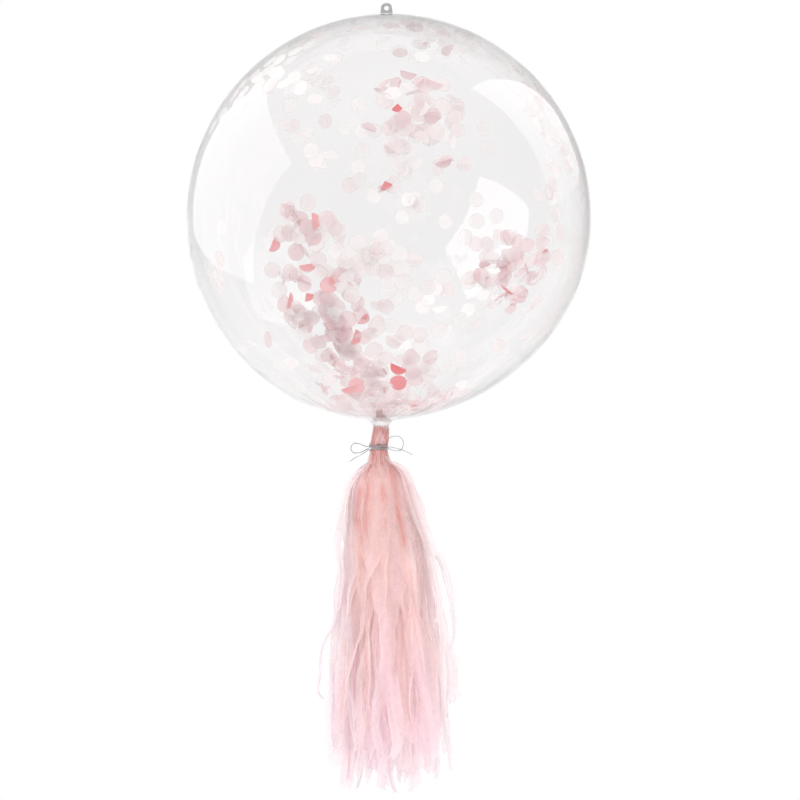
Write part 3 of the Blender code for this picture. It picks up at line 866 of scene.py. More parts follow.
def build_film():
    """The balloon's clear film, one shell with a thin wall, from its crown to the end of the stem."""
    film = spin_profile("balloon_film", film_profile(), CROWN_Z, STEM_END_Z - STEM_RADIUS * 0.4)
    pleat_film(film.data)
    film.data.materials.append(CLEAR_FILM)
    wall = film.modifiers.new("wall", "SOLIDIFY")
    wall.thickness = FILM_WALL
    wall.offset = -1.0
    apply_modifiers(film)
    film.visible_diffuse = False
    film.visible_shadow = False
    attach(film, "root")
    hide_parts("balloon")


build_film()


# Confetti


FRONT = -1
DISC_RADIUS = 0.0125
DISC_SIDES = 20

# How far a disc that lies on the film stays off it, and one that faces the front or has slid into the neck;
# how near the rim a disc is placed, and in how many rounds the film's depth at a pixel is found
DISC_CLEAR = 0.0006
FACING_CLEAR = 0.0010
NEAREST_RIM = 0.996
VIEW_ROUNDS = 5

# The outline of the film's lower part, from one point to the next
FUNNEL = [pair for pair in zip(film_profile(), film_profile()[1:]) if pair[0][1] < BALLOON_CENTRE_Z]


def disc_master(name, cup, turn=0.0, fold=0.0, second_fold=0.0):
    """A cut disc lying level, with its middle pushed down, turned and folded about one or two lines."""
    clear_selection()
    bpy.ops.mesh.primitive_circle_add(
        vertices=DISC_SIDES, radius=DISC_RADIUS, fill_type="TRIFAN", location=(0.0, 0.0, 0.0))
    item = bpy.context.object
    item.name = name
    turn_part(item, lambda place: place.length < 0.001, None, 0.0, (0.0, 0.0, -cup))
    turn_part(item, lambda place: True, "Z", turn)
    turn_part(item, lambda place: place.y > 0.0001, "X", fold)
    turn_part(item, lambda place: place.x > 0.0001, "Y", second_fold)
    return item


def turn_part(item, chosen, axis, degrees, shift=None):
    """Turn or shift the points of a piece that a test of their place chooses, about the origin."""
    bpy.ops.object.mode_set(mode="EDIT")
    bpy.ops.mesh.select_all(action="DESELECT")
    shape = bmesh.from_edit_mesh(item.data)
    shape.select_mode = {"VERT"}
    for vertex in shape.verts:
        vertex.select = chosen(vertex.co)
    shape.select_flush_mode()
    bmesh.update_edit_mesh(item.data)
    if shift:
        bpy.ops.transform.translate(value=shift)
    elif degrees:
        bpy.ops.transform.rotate(
            value=math.radians(degrees), orient_axis=axis, center_override=(0.0, 0.0, 0.0))
    bpy.ops.object.mode_set(mode="OBJECT")


DISC_KINDS = {
    "flat": disc_master("disc_flat", 0.0006),
    "cupped": disc_master("disc_cupped", 0.0026),
    "bent": disc_master("disc_bent", 0.0008, 0.0, 48.0),
    "folded": disc_master("disc_folded", 0.0004, 0.0, 160.0),
    "quarter": disc_master("disc_quarter", 0.0003, 0.0, 164.0, 150.0),
    "creased": disc_master("disc_creased", 0.0012, 36.0, 72.0, -48.0),
}


def film_reach(z):
    """Radius inside the film at a height."""
    rise = BALLOON_RADIUS * (CROWN_FULLNESS if z > BALLOON_CENTRE_Z else 1.0)
    height = (z - BALLOON_CENTRE_Z) / rise
    return (BALLOON_RADIUS - FILM_WALL) * math.sqrt(max(0.0, 1.0 - height * height))


def wall_spot(across, down, wall):
    """The point of the film's front (-1) or back (+1) wall that shows at a pixel, or None at its rim."""
    depth = 0.0
    for _ in range(VIEW_ROUNDS):
        x, z = from_pixel(across, down, 1.0 + wall * depth / CAMERA_DISTANCE)
        reach = film_reach(z)
        aside = x - balloon_axis_x(z)
        if abs(aside) >= reach * NEAREST_RIM:
            return None
        depth = math.sqrt(reach * reach - aside * aside)
    return Vector((x, wall * depth, z))


def disc_faces(kind):
    """The faces of a kind of disc, as numbers of its vertices."""
    return [tuple(polygon.vertices) for polygon in DISC_KINDS[kind].data.polygons]


def balloon_middle(spot):
    """The middle of the balloon, as far aside as it is at a spot's height."""
    return Vector((balloon_axis_x(spot.z), 0.0, BALLOON_CENTRE_Z))


def place_disc(kind, spot, tilt, lean, spin, size):
    """The vertices of a disc that touches the film at a spot, tilted off it and spun in its own plane."""
    inward = (balloon_middle(spot) - spot).normalized()
    aside = inward.orthogonal().normalized()
    aside.rotate(Matrix.Rotation(lean, 3, inward))
    turned = Matrix.Rotation(tilt, 3, aside)
    frame_z = turned @ inward
    frame_x = turned @ aside
    frame_y = frame_z.cross(frame_x)
    places = []
    for vertex in DISC_KINDS[kind].data.vertices:
        flat = vertex.co.copy() * size
        flat.rotate(Matrix.Rotation(spin, 3, "Z"))
        places.append(frame_x * flat.x + frame_y * flat.y + frame_z * flat.z)
    sunk = min(place.dot(inward) for place in places)
    aside_most = max((place - inward * place.dot(inward)).length for place in places)
    curve = aside_most ** 2 / (2.0 * BALLOON_RADIUS)
    base = spot + inward * (DISC_CLEAR + curve - sunk)
    return [base + place for place in places], disc_faces(kind)


def face_disc(kind, spot, spin, lean, roll=0.0):
    """The vertices of a disc that faces the front near the front wall, spun, leaned forward and rolled."""
    turned = Matrix.Rotation(math.pi / 2, 3, "X") @ Matrix.Rotation(spin, 3, "Z")
    turned = Matrix.Rotation(roll, 3, "Y") @ Matrix.Rotation(lean, 3, "X") @ turned
    places = [turned @ vertex.co for vertex in DISC_KINDS[kind].data.vertices]
    middle = sum(places, Vector()) / len(places)
    outward = (spot - balloon_middle(spot)).normalized()
    reach = max((place - middle).dot(outward) for place in places)
    base = spot - outward * (FACING_CLEAR + reach + DISC_RADIUS ** 2 / (2.0 * BALLOON_RADIUS))
    return [base + place - middle for place in places], disc_faces(kind)


def film_floor(radius):
    """Height of the film's inside at a distance from the axis, low in the balloon and down its neck."""
    if radius > NECK_FLARE_RADIUS:
        return BALLOON_CENTRE_Z - math.sqrt(BALLOON_RADIUS ** 2 - radius ** 2)
    for (wide, high), (narrow, low) in FUNNEL:
        if narrow <= radius <= wide:
            return blend(low, high, (radius - narrow) / max(wide - narrow, 0.00001))
    return HEAD_TOP_Z


def funnel_disc(kind, away, angle, tilt, spin):
    """The vertices of a disc that has slid into the film's neck, lowered until it touches the film."""
    turned = Matrix.Rotation(angle, 3, "Z") @ Matrix.Rotation(tilt, 3, "X") @ Matrix.Rotation(spin, 3, "Z")
    middle = Vector((away * math.cos(angle), away * math.sin(angle), 0.0))
    places = [middle + turned @ vertex.co for vertex in DISC_KINDS[kind].data.vertices]
    lift = max(film_floor(math.hypot(place.x, place.y)) - place.z for place in places) + FACING_CLEAR
    aside = Vector((balloon_axis_x(HEAD_TOP_Z + NECK_LENGTH), 0.0, lift))
    return [place + aside for place in places], disc_faces(kind)


# Discs that stand out in the photograph: pixel, wall (-1 front, 1 back), colour, shape, tilt in degrees
SEEN = (
    (386, 79, -1, "pink", "bent", 25), (422, 79, -1, "pink", "bent", 40),
    (435, 81, -1, "pink", "folded", 30), (421, 95, -1, "pink", "flat", 64),
    (434, 112, -1, "pink", "flat", 50), (404, 124, -1, "pale", "bent", 60),
    (456, 95, -1, "pale", "bent", 30), (458, 129, -1, "pale", "flat", 5),
    (437, 131, -1, "pale", "flat", 12), (393, 92, -1, "white", "flat", 8),
    (447, 161, -1, "pink", "folded", 52), (386, 190, -1, "pink", "quarter", 60),
    (392, 183, -1, "pale", "bent", 50), (357, 103, 1, "faint", "bent", 40),
    (368, 126, 1, "pink", "bent", 58), (344, 44, 1, "faint", "flat", 20), (336, 57, 1, "faint", "flat", 20),
    (310, 68, 1, "faint", "flat", 15), (451, 44, 1, "pink", "bent", 30), (457, 50, 1, "faint", "flat", 10),
    (470, 44, 1, "white", "flat", 10), (424, 39, 1, "pink", "folded", 30),
    (324, 119, 1, "pale", "bent", 35), (289, 103, 1, "faint", "flat", 20),
    (284, 123, 1, "faint", "flat", 20), (315, 159, -1, "faint", "flat", 15),
    (310, 150, -1, "white", "flat", 10), (327, 155, -1, "faint", "bent", 30),
    (284, 206, -1, "pink", "bent", 30), (290, 213, -1, "pale", "creased", 25),
    (328, 219, -1, "pink", "cupped", 24), (334, 228, -1, "pale", "flat", 14),
    (288, 232, -1, "white", "flat", 12), (297, 237, -1, "pink", "creased", 30),
    (271, 244, -1, "coral", "folded", 46), (295, 253, -1, "pale", "flat", 12),
    (270, 271, -1, "pale", "cupped", 26), (281, 279, -1, "pale", "creased", 20),
    (301, 285, -1, "pink", "folded", 50), (334, 283, -1, "coral", "bent", 40),
    (329, 300, -1, "pale", "flat", 12), (348, 299, -1, "pink", "flat", 70),
    (345, 261, -1, "white", "flat", 10), (361, 317, -1, "pink", "bent", 34),
    (281, 306, -1, "pink", "cupped", 30), (289, 321, -1, "pale", "flat", 24),
    (305, 317, -1, "white", "flat", 12), (319, 313, -1, "white", "flat", 16),
    (331, 326, -1, "pink", "folded", 48), (344, 336, -1, "pink", "flat", 54),
    (338, 328, -1, "pale", "bent", 40), (362, 339, -1, "pink", "bent", 30),
    (304, 334, -1, "white", "flat", 12), (309, 348, -1, "pink", "cupped", 30),
    (336, 351, -1, "pink", "folded", 72), (351, 354, -1, "pale", "flat", 14),
    (374, 352, -1, "pale", "flat", 16), (326, 359, -1, "pink", "folded", 60),
    (339, 377, -1, "pink", "flat", 44), (368, 379, -1, "pale", "cupped", 30),
    (371, 395, -1, "pink", "bent", 50), (364, 402, -1, "pink", "flat", 50),
    (350, 401, -1, "pale", "bent", 40), (391, 327, -1, "white", "flat", 14),
    (376, 329, -1, "white", "flat", 10), (405, 334, -1, "pale", "flat", 12),
    (394, 345, -1, "pale", "bent", 26), (411, 361, -1, "pink", "flat", 32),
    (416, 375, -1, "white", "folded", 30), (377, 246, -1, "pale", "flat", 8),
    (388, 247, -1, "white", "flat", 10), (400, 254, -1, "white", "flat", 8),
    (402, 269, -1, "white", "flat", 8), (404, 282, -1, "white", "flat", 8),
    (388, 291, -1, "white", "flat", 8), (395, 298, -1, "white", "flat", 8),
    (416, 295, -1, "white", "flat", 8), (428, 288, -1, "white", "flat", 8),
    (444, 277, -1, "white", "flat", 8), (440, 331, -1, "white", "flat", 6),
    (460, 320, -1, "white", "flat", 6), (475, 327, -1, "white", "flat", 8),
    (422, 348, -1, "white", "flat", 26), (432, 361, -1, "white", "flat", 24),
    (464, 361, -1, "white", "flat", 40), (433, 373, -1, "white", "flat", 30),
    (447, 371, -1, "white", "flat", 30), (459, 377, -1, "pale", "flat", 40),
    (431, 387, -1, "white", "flat", 34), (433, 394, -1, "pale", "flat", 40),
    (416, 261, 1, "pale", "bent", 30), (477, 221, 1, "white", "flat", 8), (497, 216, 1, "white", "flat", 8),
    (477, 244, 1, "pale", "flat", 10), (497, 236, 1, "pale", "bent", 20), (487, 258, 1, "pale", "flat", 10),
    (488, 268, 1, "pink", "folded", 66), (471, 278, 1, "pale", "flat", 8),
    (484, 277, 1, "pink", "bent", 30), (492, 281, 1, "pale", "flat", 12), (503, 284, 1, "pale", "bent", 34),
    (503, 298, 1, "pink", "folded", 70), (512, 292, 1, "coral", "folded", 66),
    (512, 309, 1, "pink", "creased", 40), (523, 300, 1, "pink", "folded", 50),
    (533, 272, 1, "pink", "folded", 44), (534, 279, 1, "pink", "cupped", 24),
    (540, 260, 1, "pink", "bent", 30), (547, 262, 1, "pink", "bent", 40),
    (548, 254, 1, "coral", "folded", 60), (557, 240, 1, "pink", "flat", 40),
    (548, 230, 1, "pale", "bent", 40), (534, 261, 1, "pale", "flat", 14), (519, 254, 1, "pale", "flat", 16),
    (484, 295, 1, "white", "flat", 8), (531, 311, 1, "pale", "flat", 20), (529, 338, 1, "pale", "flat", 20),
    (488, 147, 1, "white", "flat", 6), (484, 128, 1, "white", "flat", 6), (405, 172, 1, "white", "flat", 6),
    (388, 145, 1, "faint", "flat", 6), (278, 370, 1, "faint", "flat", 12),
    (247, 347, 1, "faint", "bent", 20), (506, 58, -1, "white", "flat", 2),
    (520, 71, -1, "white", "flat", 2), (524, 81, -1, "white", "flat", 2), (541, 92, -1, "white", "flat", 2),
    (538, 124, -1, "faint", "flat", 6), (551, 140, -1, "faint", "flat", 6),
    (561, 131, -1, "faint", "flat", 6), (555, 166, -1, "pale", "bent", 20),
)

# Discs whose faces or folds stand out most: pixel, colour, shape, degrees spun and leaned
FACING = (
    (399, 389, "deep", "bent", 2, 10), (397, 374, "deep", "folded", -24, 10),
    (356, 391, "coral", "bent", 12, 24), (350, 394, "coral", "folded", 20, 30),
    (398, 108, "deep", "quarter", 45, 0), (387, 187, "coral", "quarter", 60, 20),
    (408, 71, "pink", "folded", -15, 30), (316, 221, "coral", "folded", 95, 0),
    (306, 270, "coral", "folded", 10, 20), (327, 287, "coral", "cupped", 0, 0),
    (308, 301, "coral", "quarter", 80, 0), (365, 322, "coral", "folded", 60, 50),
    (357, 341, "coral", "folded", 70, 20), (284, 209, "pink", "bent", 40, 0),
    (296, 238, "pink", "creased", 10, 0), (447, 162, "pink", "folded", 20, 40),
    (422, 80, "pink", "bent", 10, 30), (435, 112, "pink", "cupped", 0, 60),
    (331, 326, "pink", "folded", -40, 20), (320, 300, "pink", "cupped", 0, 10),
    (302, 285, "pink", "bent", 90, 10), (344, 336, "pink", "bent", 30, 20),
)

# Bright discs beside the upper left rim: pixel, colour, how narrow they look, and degrees they rise to the
# right
RIM_DISCS = (
    (293, 76, "white", 0.7, 40), (299, 85, "white", 0.8, 60), (283, 82, "white", 0.5, 30),
    (314, 97, "faint", 0.7, 10), (313, 67, "faint", 0.35, 5), (330, 55, "faint", 0.5, 5),
    (270, 84, "white", 0.45, 40),
)

# Rows of discs along that rim and the upper right one: how many pixels inside it, the first and the last
# place in degrees round from the right, and how many pixels apart
RIM_ROWS = (
    (4.0, 152, 112, 18.0), (9.5, 148, 114, 16.0), (15.5, 144, 122, 17.0), (21.5, 138, 127, 19.0),
    (5.0, 58, 2, 27.0), (11.5, 54, 10, 31.0),
)
RIM_PIXEL = 202.1
RIM_MIDDLE = (389.0, 217.8)
WHITE_RIM = 124.0

# Loose drifts: middle pixel, spread in pixels across and down, wall, how many, how loose, and the share of
# each colour in the order of TINTS
DRIFTS = (
    (410, 100, 38, 34, -1, 24, 1.0, (0.15, 0.64, 0.2, 0.01, 0.0)),
    (430, 130, 42, 30, 1, 24, 1.0, (0.25, 0.6, 0.15, 0.0, 0.0)),
    (330, 110, 40, 40, 1, 16, 0.8, (0.25, 0.05, 0.0, 0.0, 0.7)),
    (300, 235, 26, 30, -1, 24, 1.0, (0.14, 0.58, 0.26, 0.02, 0.0)),
    (315, 300, 30, 34, -1, 36, 1.0, (0.1, 0.48, 0.38, 0.04, 0.0)),
    (350, 340, 36, 34, -1, 56, 1.0, (0.05, 0.46, 0.46, 0.03, 0.0)),
    (365, 268, 30, 26, -1, 26, 0.5, (0.4, 0.18, 0.02, 0.0, 0.4)),
    (385, 380, 40, 18, -1, 48, 1.0, (0.05, 0.47, 0.45, 0.03, 0.0)),
    (400, 398, 52, 12, 1, 34, 1.0, (0.25, 0.45, 0.28, 0.02, 0.0)),
    (350, 375, 44, 24, 1, 34, 1.0, (0.08, 0.5, 0.42, 0.0, 0.0)),
    (515, 270, 26, 30, 1, 32, 1.0, (0.1, 0.52, 0.36, 0.02, 0.0)),
    (552, 220, 12, 50, 1, 12, 0.8, (0.4, 0.5, 0.1, 0.0, 0.0)),
    (545, 110, 18, 24, -1, 12, 0.3, (0.5, 0.0, 0.0, 0.0, 0.5)),
    (566, 150, 8, 26, 1, 7, 0.3, (0.5, 0.4, 0.1, 0.0, 0.0)),
    (440, 40, 50, 14, 1, 18, 0.5, (0.2, 0.2, 0.05, 0.0, 0.55)),
    (390, 24, 60, 6, 1, 20, 0.3, (0.2, 0.5, 0.3, 0.0, 0.0)),
    (390, 190, 60, 40, 1, 16, 0.5, (0.85, 0.15, 0.0, 0.0, 0.0)),
    (215, 265, 10, 34, -1, 7, 0.3, (0.2, 0.1, 0.0, 0.0, 0.7)),
    (440, 300, 60, 60, 1, 14, 0.5, (0.85, 0.15, 0.0, 0.0, 0.0)),
    (470, 400, 24, 10, 1, 8, 0.6, (0.4, 0.4, 0.2, 0.0, 0.0)),
)
# How much painted shade the sheltered discs get
PAINTED_SHELTER_SHADE = 0.65
POOL_REACH = 0.105
POOL_DEPTH = 0.006
POOL_COUNT = 96
POOL_SHARES = (0.10, 0.47, 0.40, 0.03, 0.0)
FUNNEL_COUNT = 14
FUNNEL_SHARES = (0.55, 0.20, 0.0, 0.0, 0.25)
TINTS = ("white", "pale", "pink", "coral", "faint")

# What shapes the discs of a colour have, and their shares
SHAPES = {
    "white": (("flat", 0.75), ("cupped", 0.15), ("bent", 0.10)),
    "faint": (("flat", 0.6), ("cupped", 0.2), ("bent", 0.2)),
    "pale": (("flat", 0.55), ("cupped", 0.2), ("bent", 0.25)),
    "pink": (("flat", 0.3), ("cupped", 0.2), ("bent", 0.3), ("creased", 0.2)),
    "coral": (("folded", 0.55), ("creased", 0.25), ("quarter", 0.2)),
}


def pick(dice, choices):
    """One of the named choices, by their shares."""
    left = dice.random() * sum(share for _, share in choices)
    for name, share in choices:
        left -= share
        if left <= 0.0:
            return name
    return choices[-1][0]


def pick_tint(dice, shares):
    """A colour of disc, by the shares of all the colours."""
    return pick(dice, tuple(zip(TINTS, shares)))


def sheltered(place):
    """How much painted shade a disc gets, as if in the shade of others, low in the balloon or at the right
    of its far wall.
    """
    low = smooth_step((BALLOON_CENTRE_Z - 0.07 - place.z) / 0.10)
    right = smooth_step((place.x - 0.09) / 0.05) if place.y > 0.0 else 0.0
    return max(low, right)


class Heaps:
    """The discs laid so far, a heap for each colour: vertices, faces, shades and shares of the radius."""

    def __init__(self):
        self.colours = {tint: ([], [], [], []) for tint in (*TINTS, "deep")}
        self.dice = random.Random(19)
        points = [vertex.co for vertex in DISC_KINDS["flat"].data.vertices]
        self.disc_edges = [min(math.hypot(point.x, point.y) / DISC_RADIUS, 1.0) for point in points]
        self.bright = [from_pixel(*pixel) for *pixel, tint, _, _, _ in FACING if tint in ("coral", "deep")]

    def covers(self, spot):
        """Whether a disc at a spot would hide one of the bright discs that stand out."""
        wide, high = DISC_RADIUS * 1.35, DISC_RADIUS * 1.15
        beside = (abs(spot.x - x) < wide and abs(spot.z - z) < high for x, z in self.bright)
        return spot.y < 0.0 and any(beside)

    def lay(self, tint, places, faces):
        """Add a disc to its colour's heap, with a tone of its own and painted shade where it is sheltered.
        """
        vertices, polygons, shades, edges = self.colours[tint]
        start = len(vertices)
        vertices.extend(places)
        polygons.extend(tuple(start + index for index in face) for face in faces)
        shade = blend(self.dice.random(), 1.0, PAINTED_SHELTER_SHADE * sheltered(places[0]))
        shades.extend([shade] * len(places))
        edges.extend(self.disc_edges)

    def drop(self, tint, kind, spot, tilt, lean, spin, size=1.0):
        """Add a disc that rests on the film at a spot."""
        self.lay(tint, *place_disc(kind, spot, tilt, lean, spin, size))

    def make_pieces(self):
        """One piece for each colour of disc."""
        for tint, (vertices, polygons, shades, edges) in self.colours.items():
            values = {"shade": shades, "edge": edges}
            item = mesh_object("confetti_" + tint, vertices, polygons, CONFETTI_COLOURS[tint], None, values)
            item.data.set_sharp_from_angle(angle=math.radians(40.0))
            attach(item, "root")


def lay_facing(heaps):
    """The discs whose faces or folds stand out, and the bright ones beside the upper left rim."""
    for across, down, tint, kind, spin, lean in FACING:
        spot = wall_spot(across, down, FRONT)
        heaps.lay(tint, *face_disc(kind, spot, math.radians(spin), math.radians(lean)))
    for across, down, tint, narrow, rise in RIM_DISCS:
        spot = wall_spot(across, down, FRONT)
        heaps.lay(tint, *face_disc("flat", spot, 0.0, -math.acos(narrow), -math.radians(rise)))


def lay_rim_rows(heaps, dice):
    """Rows of discs that follow the balloon's rim, a little off their even places."""
    for inside, first, last, spacing in RIM_ROWS:
        reach = RIM_PIXEL - inside
        steps = round(math.radians(first - last) * reach / spacing)
        for step in range(steps + 1):
            angle = math.radians(blend(first, last, (step + dice.uniform(-0.25, 0.25)) / steps))
            away = reach + dice.uniform(-1.2, 1.2)
            across = RIM_MIDDLE[0] + away * math.cos(angle)
            down = RIM_MIDDLE[1] - away * math.sin(angle)
            tint = "white" if angle > math.radians(WHITE_RIM) else dice.choice(("white", "faint", "pale"))
            spot = wall_spot(across, down, FRONT)
            if spot:
                tilt = math.radians(dice.uniform(0.0, 9.0))
                turned = any_angle(dice)
                heaps.drop(tint, "flat", spot, tilt, turned, turned)


def lay_seen(heaps, dice):
    """The discs that stand out in the photograph, each at its place on its wall."""
    for across, down, wall, tint, kind, tilt in SEEN:
        spot = wall_spot(across, down, wall)
        if spot:
            lean, spin = any_angle(dice), any_angle(dice)
            size = dice.uniform(0.98, 1.06) if wall == FRONT else dice.uniform(0.94, 1.0)
            heaps.drop(tint, kind, spot, math.radians(tilt), lean, spin, size)


def lay_drift(heaps, dice, drift):
    """A loose drift of discs on one wall of the film."""
    across, down, wide, high, wall, count, loose, shares = drift
    for _ in range(count):
        spot = wall_spot(dice.gauss(across, wide * 0.6), dice.gauss(down, high * 0.6), wall)
        tint = pick_tint(dice, shares)
        kind = pick(dice, SHAPES[tint])
        tilt = math.radians(dice.choice((6.0, 10.0, 16.0, 28.0, 46.0)) * dice.uniform(0.6, 1.2)) * loose
        lean, spin = any_angle(dice), any_angle(dice)
        size = dice.uniform(0.96, 1.04)
        if spot and not heaps.covers(spot):
            heaps.drop(tint, kind, spot, tilt, lean, spin, size)


def lay_pool(heaps, dice):
    """The discs that have sunk to the bottom of the balloon, up to a few deep in the middle."""
    for _ in range(POOL_COUNT):
        away = POOL_REACH * math.sqrt(dice.uniform(0.02, 1.0))
        angle = any_angle(dice)
        z = BALLOON_CENTRE_Z - math.sqrt(BALLOON_RADIUS ** 2 - away ** 2)
        spot = Vector((balloon_axis_x(z) + away * math.sin(angle), away * math.cos(angle), z + FILM_WALL))
        tint = pick_tint(dice, POOL_SHARES)
        spot += Vector((0.0, 0.0, dice.uniform(0.0, POOL_DEPTH) * (1.0 - away / POOL_REACH)))
        tilt = math.radians(dice.choice((5.0, 12.0, 22.0, 38.0)))
        lean, spin = any_angle(dice), any_angle(dice)
        kind = pick(dice, SHAPES[tint])
        if not heaps.covers(spot):
            heaps.drop(tint, kind, spot, tilt, lean, spin)


def lay_funnel(heaps, dice):
    """The discs that have slid down to the film's neck."""
    for index in range(FUNNEL_COUNT):
        away = dice.uniform(0.012, 0.032)
        angle = FULL_TURN * (index + dice.uniform(-0.3, 0.3)) / FUNNEL_COUNT
        tint = pick_tint(dice, FUNNEL_SHARES)
        tilt = math.radians(dice.uniform(4.0, 26.0))
        kind = pick(dice, SHAPES[tint])
        heaps.lay(tint, *funnel_disc(kind, away, angle, tilt, any_angle(dice)))


def build_confetti():
    """All the discs, laid in the order that their shades are drawn in."""
    heaps = Heaps()
    lay_facing(heaps)
    lay_rim_rows(heaps, random.Random(8))
    lay_seen(heaps, random.Random(11))
    for index, drift in enumerate(DRIFTS):
        lay_drift(heaps, random.Random(300 + index), drift)
    lay_pool(heaps, random.Random(77))
    lay_funnel(heaps, random.Random(91))
    heaps.make_pieces()
    for item in DISC_KINDS.values():
        bpy.data.objects.remove(item, do_unlink=True)


build_confetti()


# Tissue tassel


class Shell:
    """How far a strip stands off the tassel's axis as it drops."""

    def __init__(self, reach, reach_drop, flare):
        self.reach = reach
        self.reach_drop = reach_drop
        self.flare = flare

    def offset(self, drop, angle):
        """Strips at the sides arch out at once, and those at the front and back more slowly."""
        over = blend(self.reach_drop + 0.034, self.reach_drop, math.sin(angle) ** 2)
        arch = self.reach * (1.0 - math.exp(-drop / over))
        return arch + self.flare * (drop / FLARE_LENGTH) ** FLARE_POWER


OUTER = Shell(0.0253, 0.0125, 0.0495)
BETWEEN = Shell(0.0195, 0.0160, 0.0420)
MIDDLE = Shell(0.0120, 0.0200, 0.0340)
INNER = Shell(0.0050, 0.0200, 0.0240)
CORE = Shell(0.0010, 0.0200, 0.0120)

# Rings of strips from the outside in: shell, how many, width, length, depth in the head, seed, first angle
RINGS = (
    (OUTER, 27, 0.0190, 0.480, 0.0003, 41, 0.0),
    (BETWEEN, 25, 0.0190, 0.490, 0.0008, 42, 0.1),
    (MIDDLE, 20, 0.0190, 0.505, 0.0018, 43, 0.05),
    (INNER, 12, 0.0185, 0.515, 0.0030, 44, 0.0),
    (CORE, 6, 0.0175, 0.520, 0.0042, 45, 0.0),
)

# Strips that the photograph shows apart: the pixels they pass, width, how far back they end, seed, twist
STRAYS = (
    (
        ((386, 456), (391, 462), (397, 465), (404, 472), (409, 486), (413, 500), (421, 524), (431, 550),
         (436, 585), (439, 622)),
        0.0165, -0.030, 71, 0.6,
    ),
    (
        ((376, 458), (367, 467), (356, 476), (349, 487), (345, 502), (341, 522), (338, 545), (340, 575),
         (337, 606)),
        0.0170, -0.028, 72, 0.6,
    ),
    (
        ((388, 470), (414, 510), (430, 548), (441, 560), (448, 588), (456, 620), (455, 640), (449, 655)),
        0.0110, -0.010, 73, 1.2,
    ),
    (
        ((388, 480), (420, 560), (440, 620), (450, 660), (456, 700)),
        0.0130, 0.005, 74, 0.8,
    ),
    (
        ((376, 480), (345, 560), (334, 610), (326, 645), (320, 675), (319, 692), (324, 697)),
        0.0120, -0.006, 75, 0.9,
    ),
)

# Heads of the three sheets: depth in the head, seed, how much higher the top edge is, and the loose edge's
# angle
PEACH_HEAD = (0.0, 3.0, 0.0, 0.45)
PEARL_HEAD = (0.0013, 5.0, 0.0008, 2.6)
PINK_HEAD = (0.0024, 7.0, -0.0004, 4.4)

ACROSS = 13
STATIONS = 84
HEAD_STATIONS = 6
LONGEST_STRIP = 0.492
PLEATED_WIDTH = 0.0050
SLEEVE_SEGMENTS = 170
SLEEVE_RINGS = 34
SLEEVE_WRAP = 1.14
SLEEVE_PLEATING = 1.3

# Shares of the even width that strips are cut to
STRIP_WIDTHS = (0.50, 0.75, 0.95, 1.20, 1.60)

# Creases across a strip: how deep and how tight each wave of them is
CREASE_WAVES = ((0.55, 3.3), (0.45, 6.5), (0.35, 9.5))

# Waves of pleats round the head: how many, fewest and most pleats to a turn, weakest and strongest
HEAD_WAVES = ((3, 4, 7, 0.8, 1.3), (2, 14, 22, 0.25, 0.5))

# Painted shade and light of the deepest and the lightest folds down the front: pixel above, pixel below,
# reach across, change of shade
FRONT_FOLDS = (
    ((391, 470), (405, 548), 2.6, -1.3), ((383, 486), (386, 536), 2.0, -0.8),
    ((360, 484), (357, 524), 3.2, -0.7), ((377, 474), (372, 566), 3.0, 0.5),
    ((398, 476), (416, 560), 2.6, 0.5), ((368, 480), (362, 560), 1.8, -0.4),
    ((386, 540), (392, 640), 2.6, -0.6), ((372, 590), (368, 690), 4.0, -0.7),
    ((408, 560), (416, 640), 2.2, -0.4),
)

# Shadows and lights in the folds at the front of the head: pixel, reach across and down, lean, and how the
# shade changes
HEAD_SHADES = (
    (387.0, 431.5, 4.2, 2.2, 0.0, -1.3), (386.5, 458.0, 1.5, 5.0, 0.25, -1.5),
    (382.6, 438.0, 1.1, 5.5, 0.45, 0.9), (386.5, 438.0, 1.4, 5.0, 0.55, -0.5),
    (377.0, 438.0, 2.2, 6.0, 0.15, 0.25), (379.5, 455.0, 3.0, 4.0, 0.4, -0.25),
    (373.0, 456.0, 1.6, 6.0, 0.2, 0.3), (389.0, 443.0, 1.0, 4.0, 0.0, -0.4),
    (380.0, 429.0, 4.0, 1.1, 0.1, -0.4),
)


def front_shade(place):
    """How much painted shade or light the sheet's front has at a place, from its deepest and lightest folds
    in the photograph.
    """
    if place.y > 0.0:
        return 0.0
    total = 0.0
    for top, bottom, reach, change in FRONT_FOLDS:
        high_x, high_z = from_pixel(*top)
        low_x, low_z = from_pixel(*bottom)
        share = (high_z - place.z) / (high_z - low_z)
        beside = (place.x - blend(high_x, low_x, share)) / (reach * PIXEL)
        ends = smooth_step((share + 0.15) / 0.3) * smooth_step((1.25 - share) / 0.4)
        total += change * ends * math.exp(-beside * beside)
    return total


def head_shade(place):
    """How much painted light or shade the head's front has at a place, from its folds in the photograph."""
    if place.y > 0.0:
        return 0.0
    total = 0.0
    for across, down, reach, fall, lean, change in HEAD_SHADES:
        x, z = from_pixel(across, down)
        under = (place.z - z) / (fall * PIXEL)
        beside = (place.x - x + lean * (place.z - z)) / (reach * PIXEL)
        total += change * math.exp(-(under * under + beside * beside))
    return total


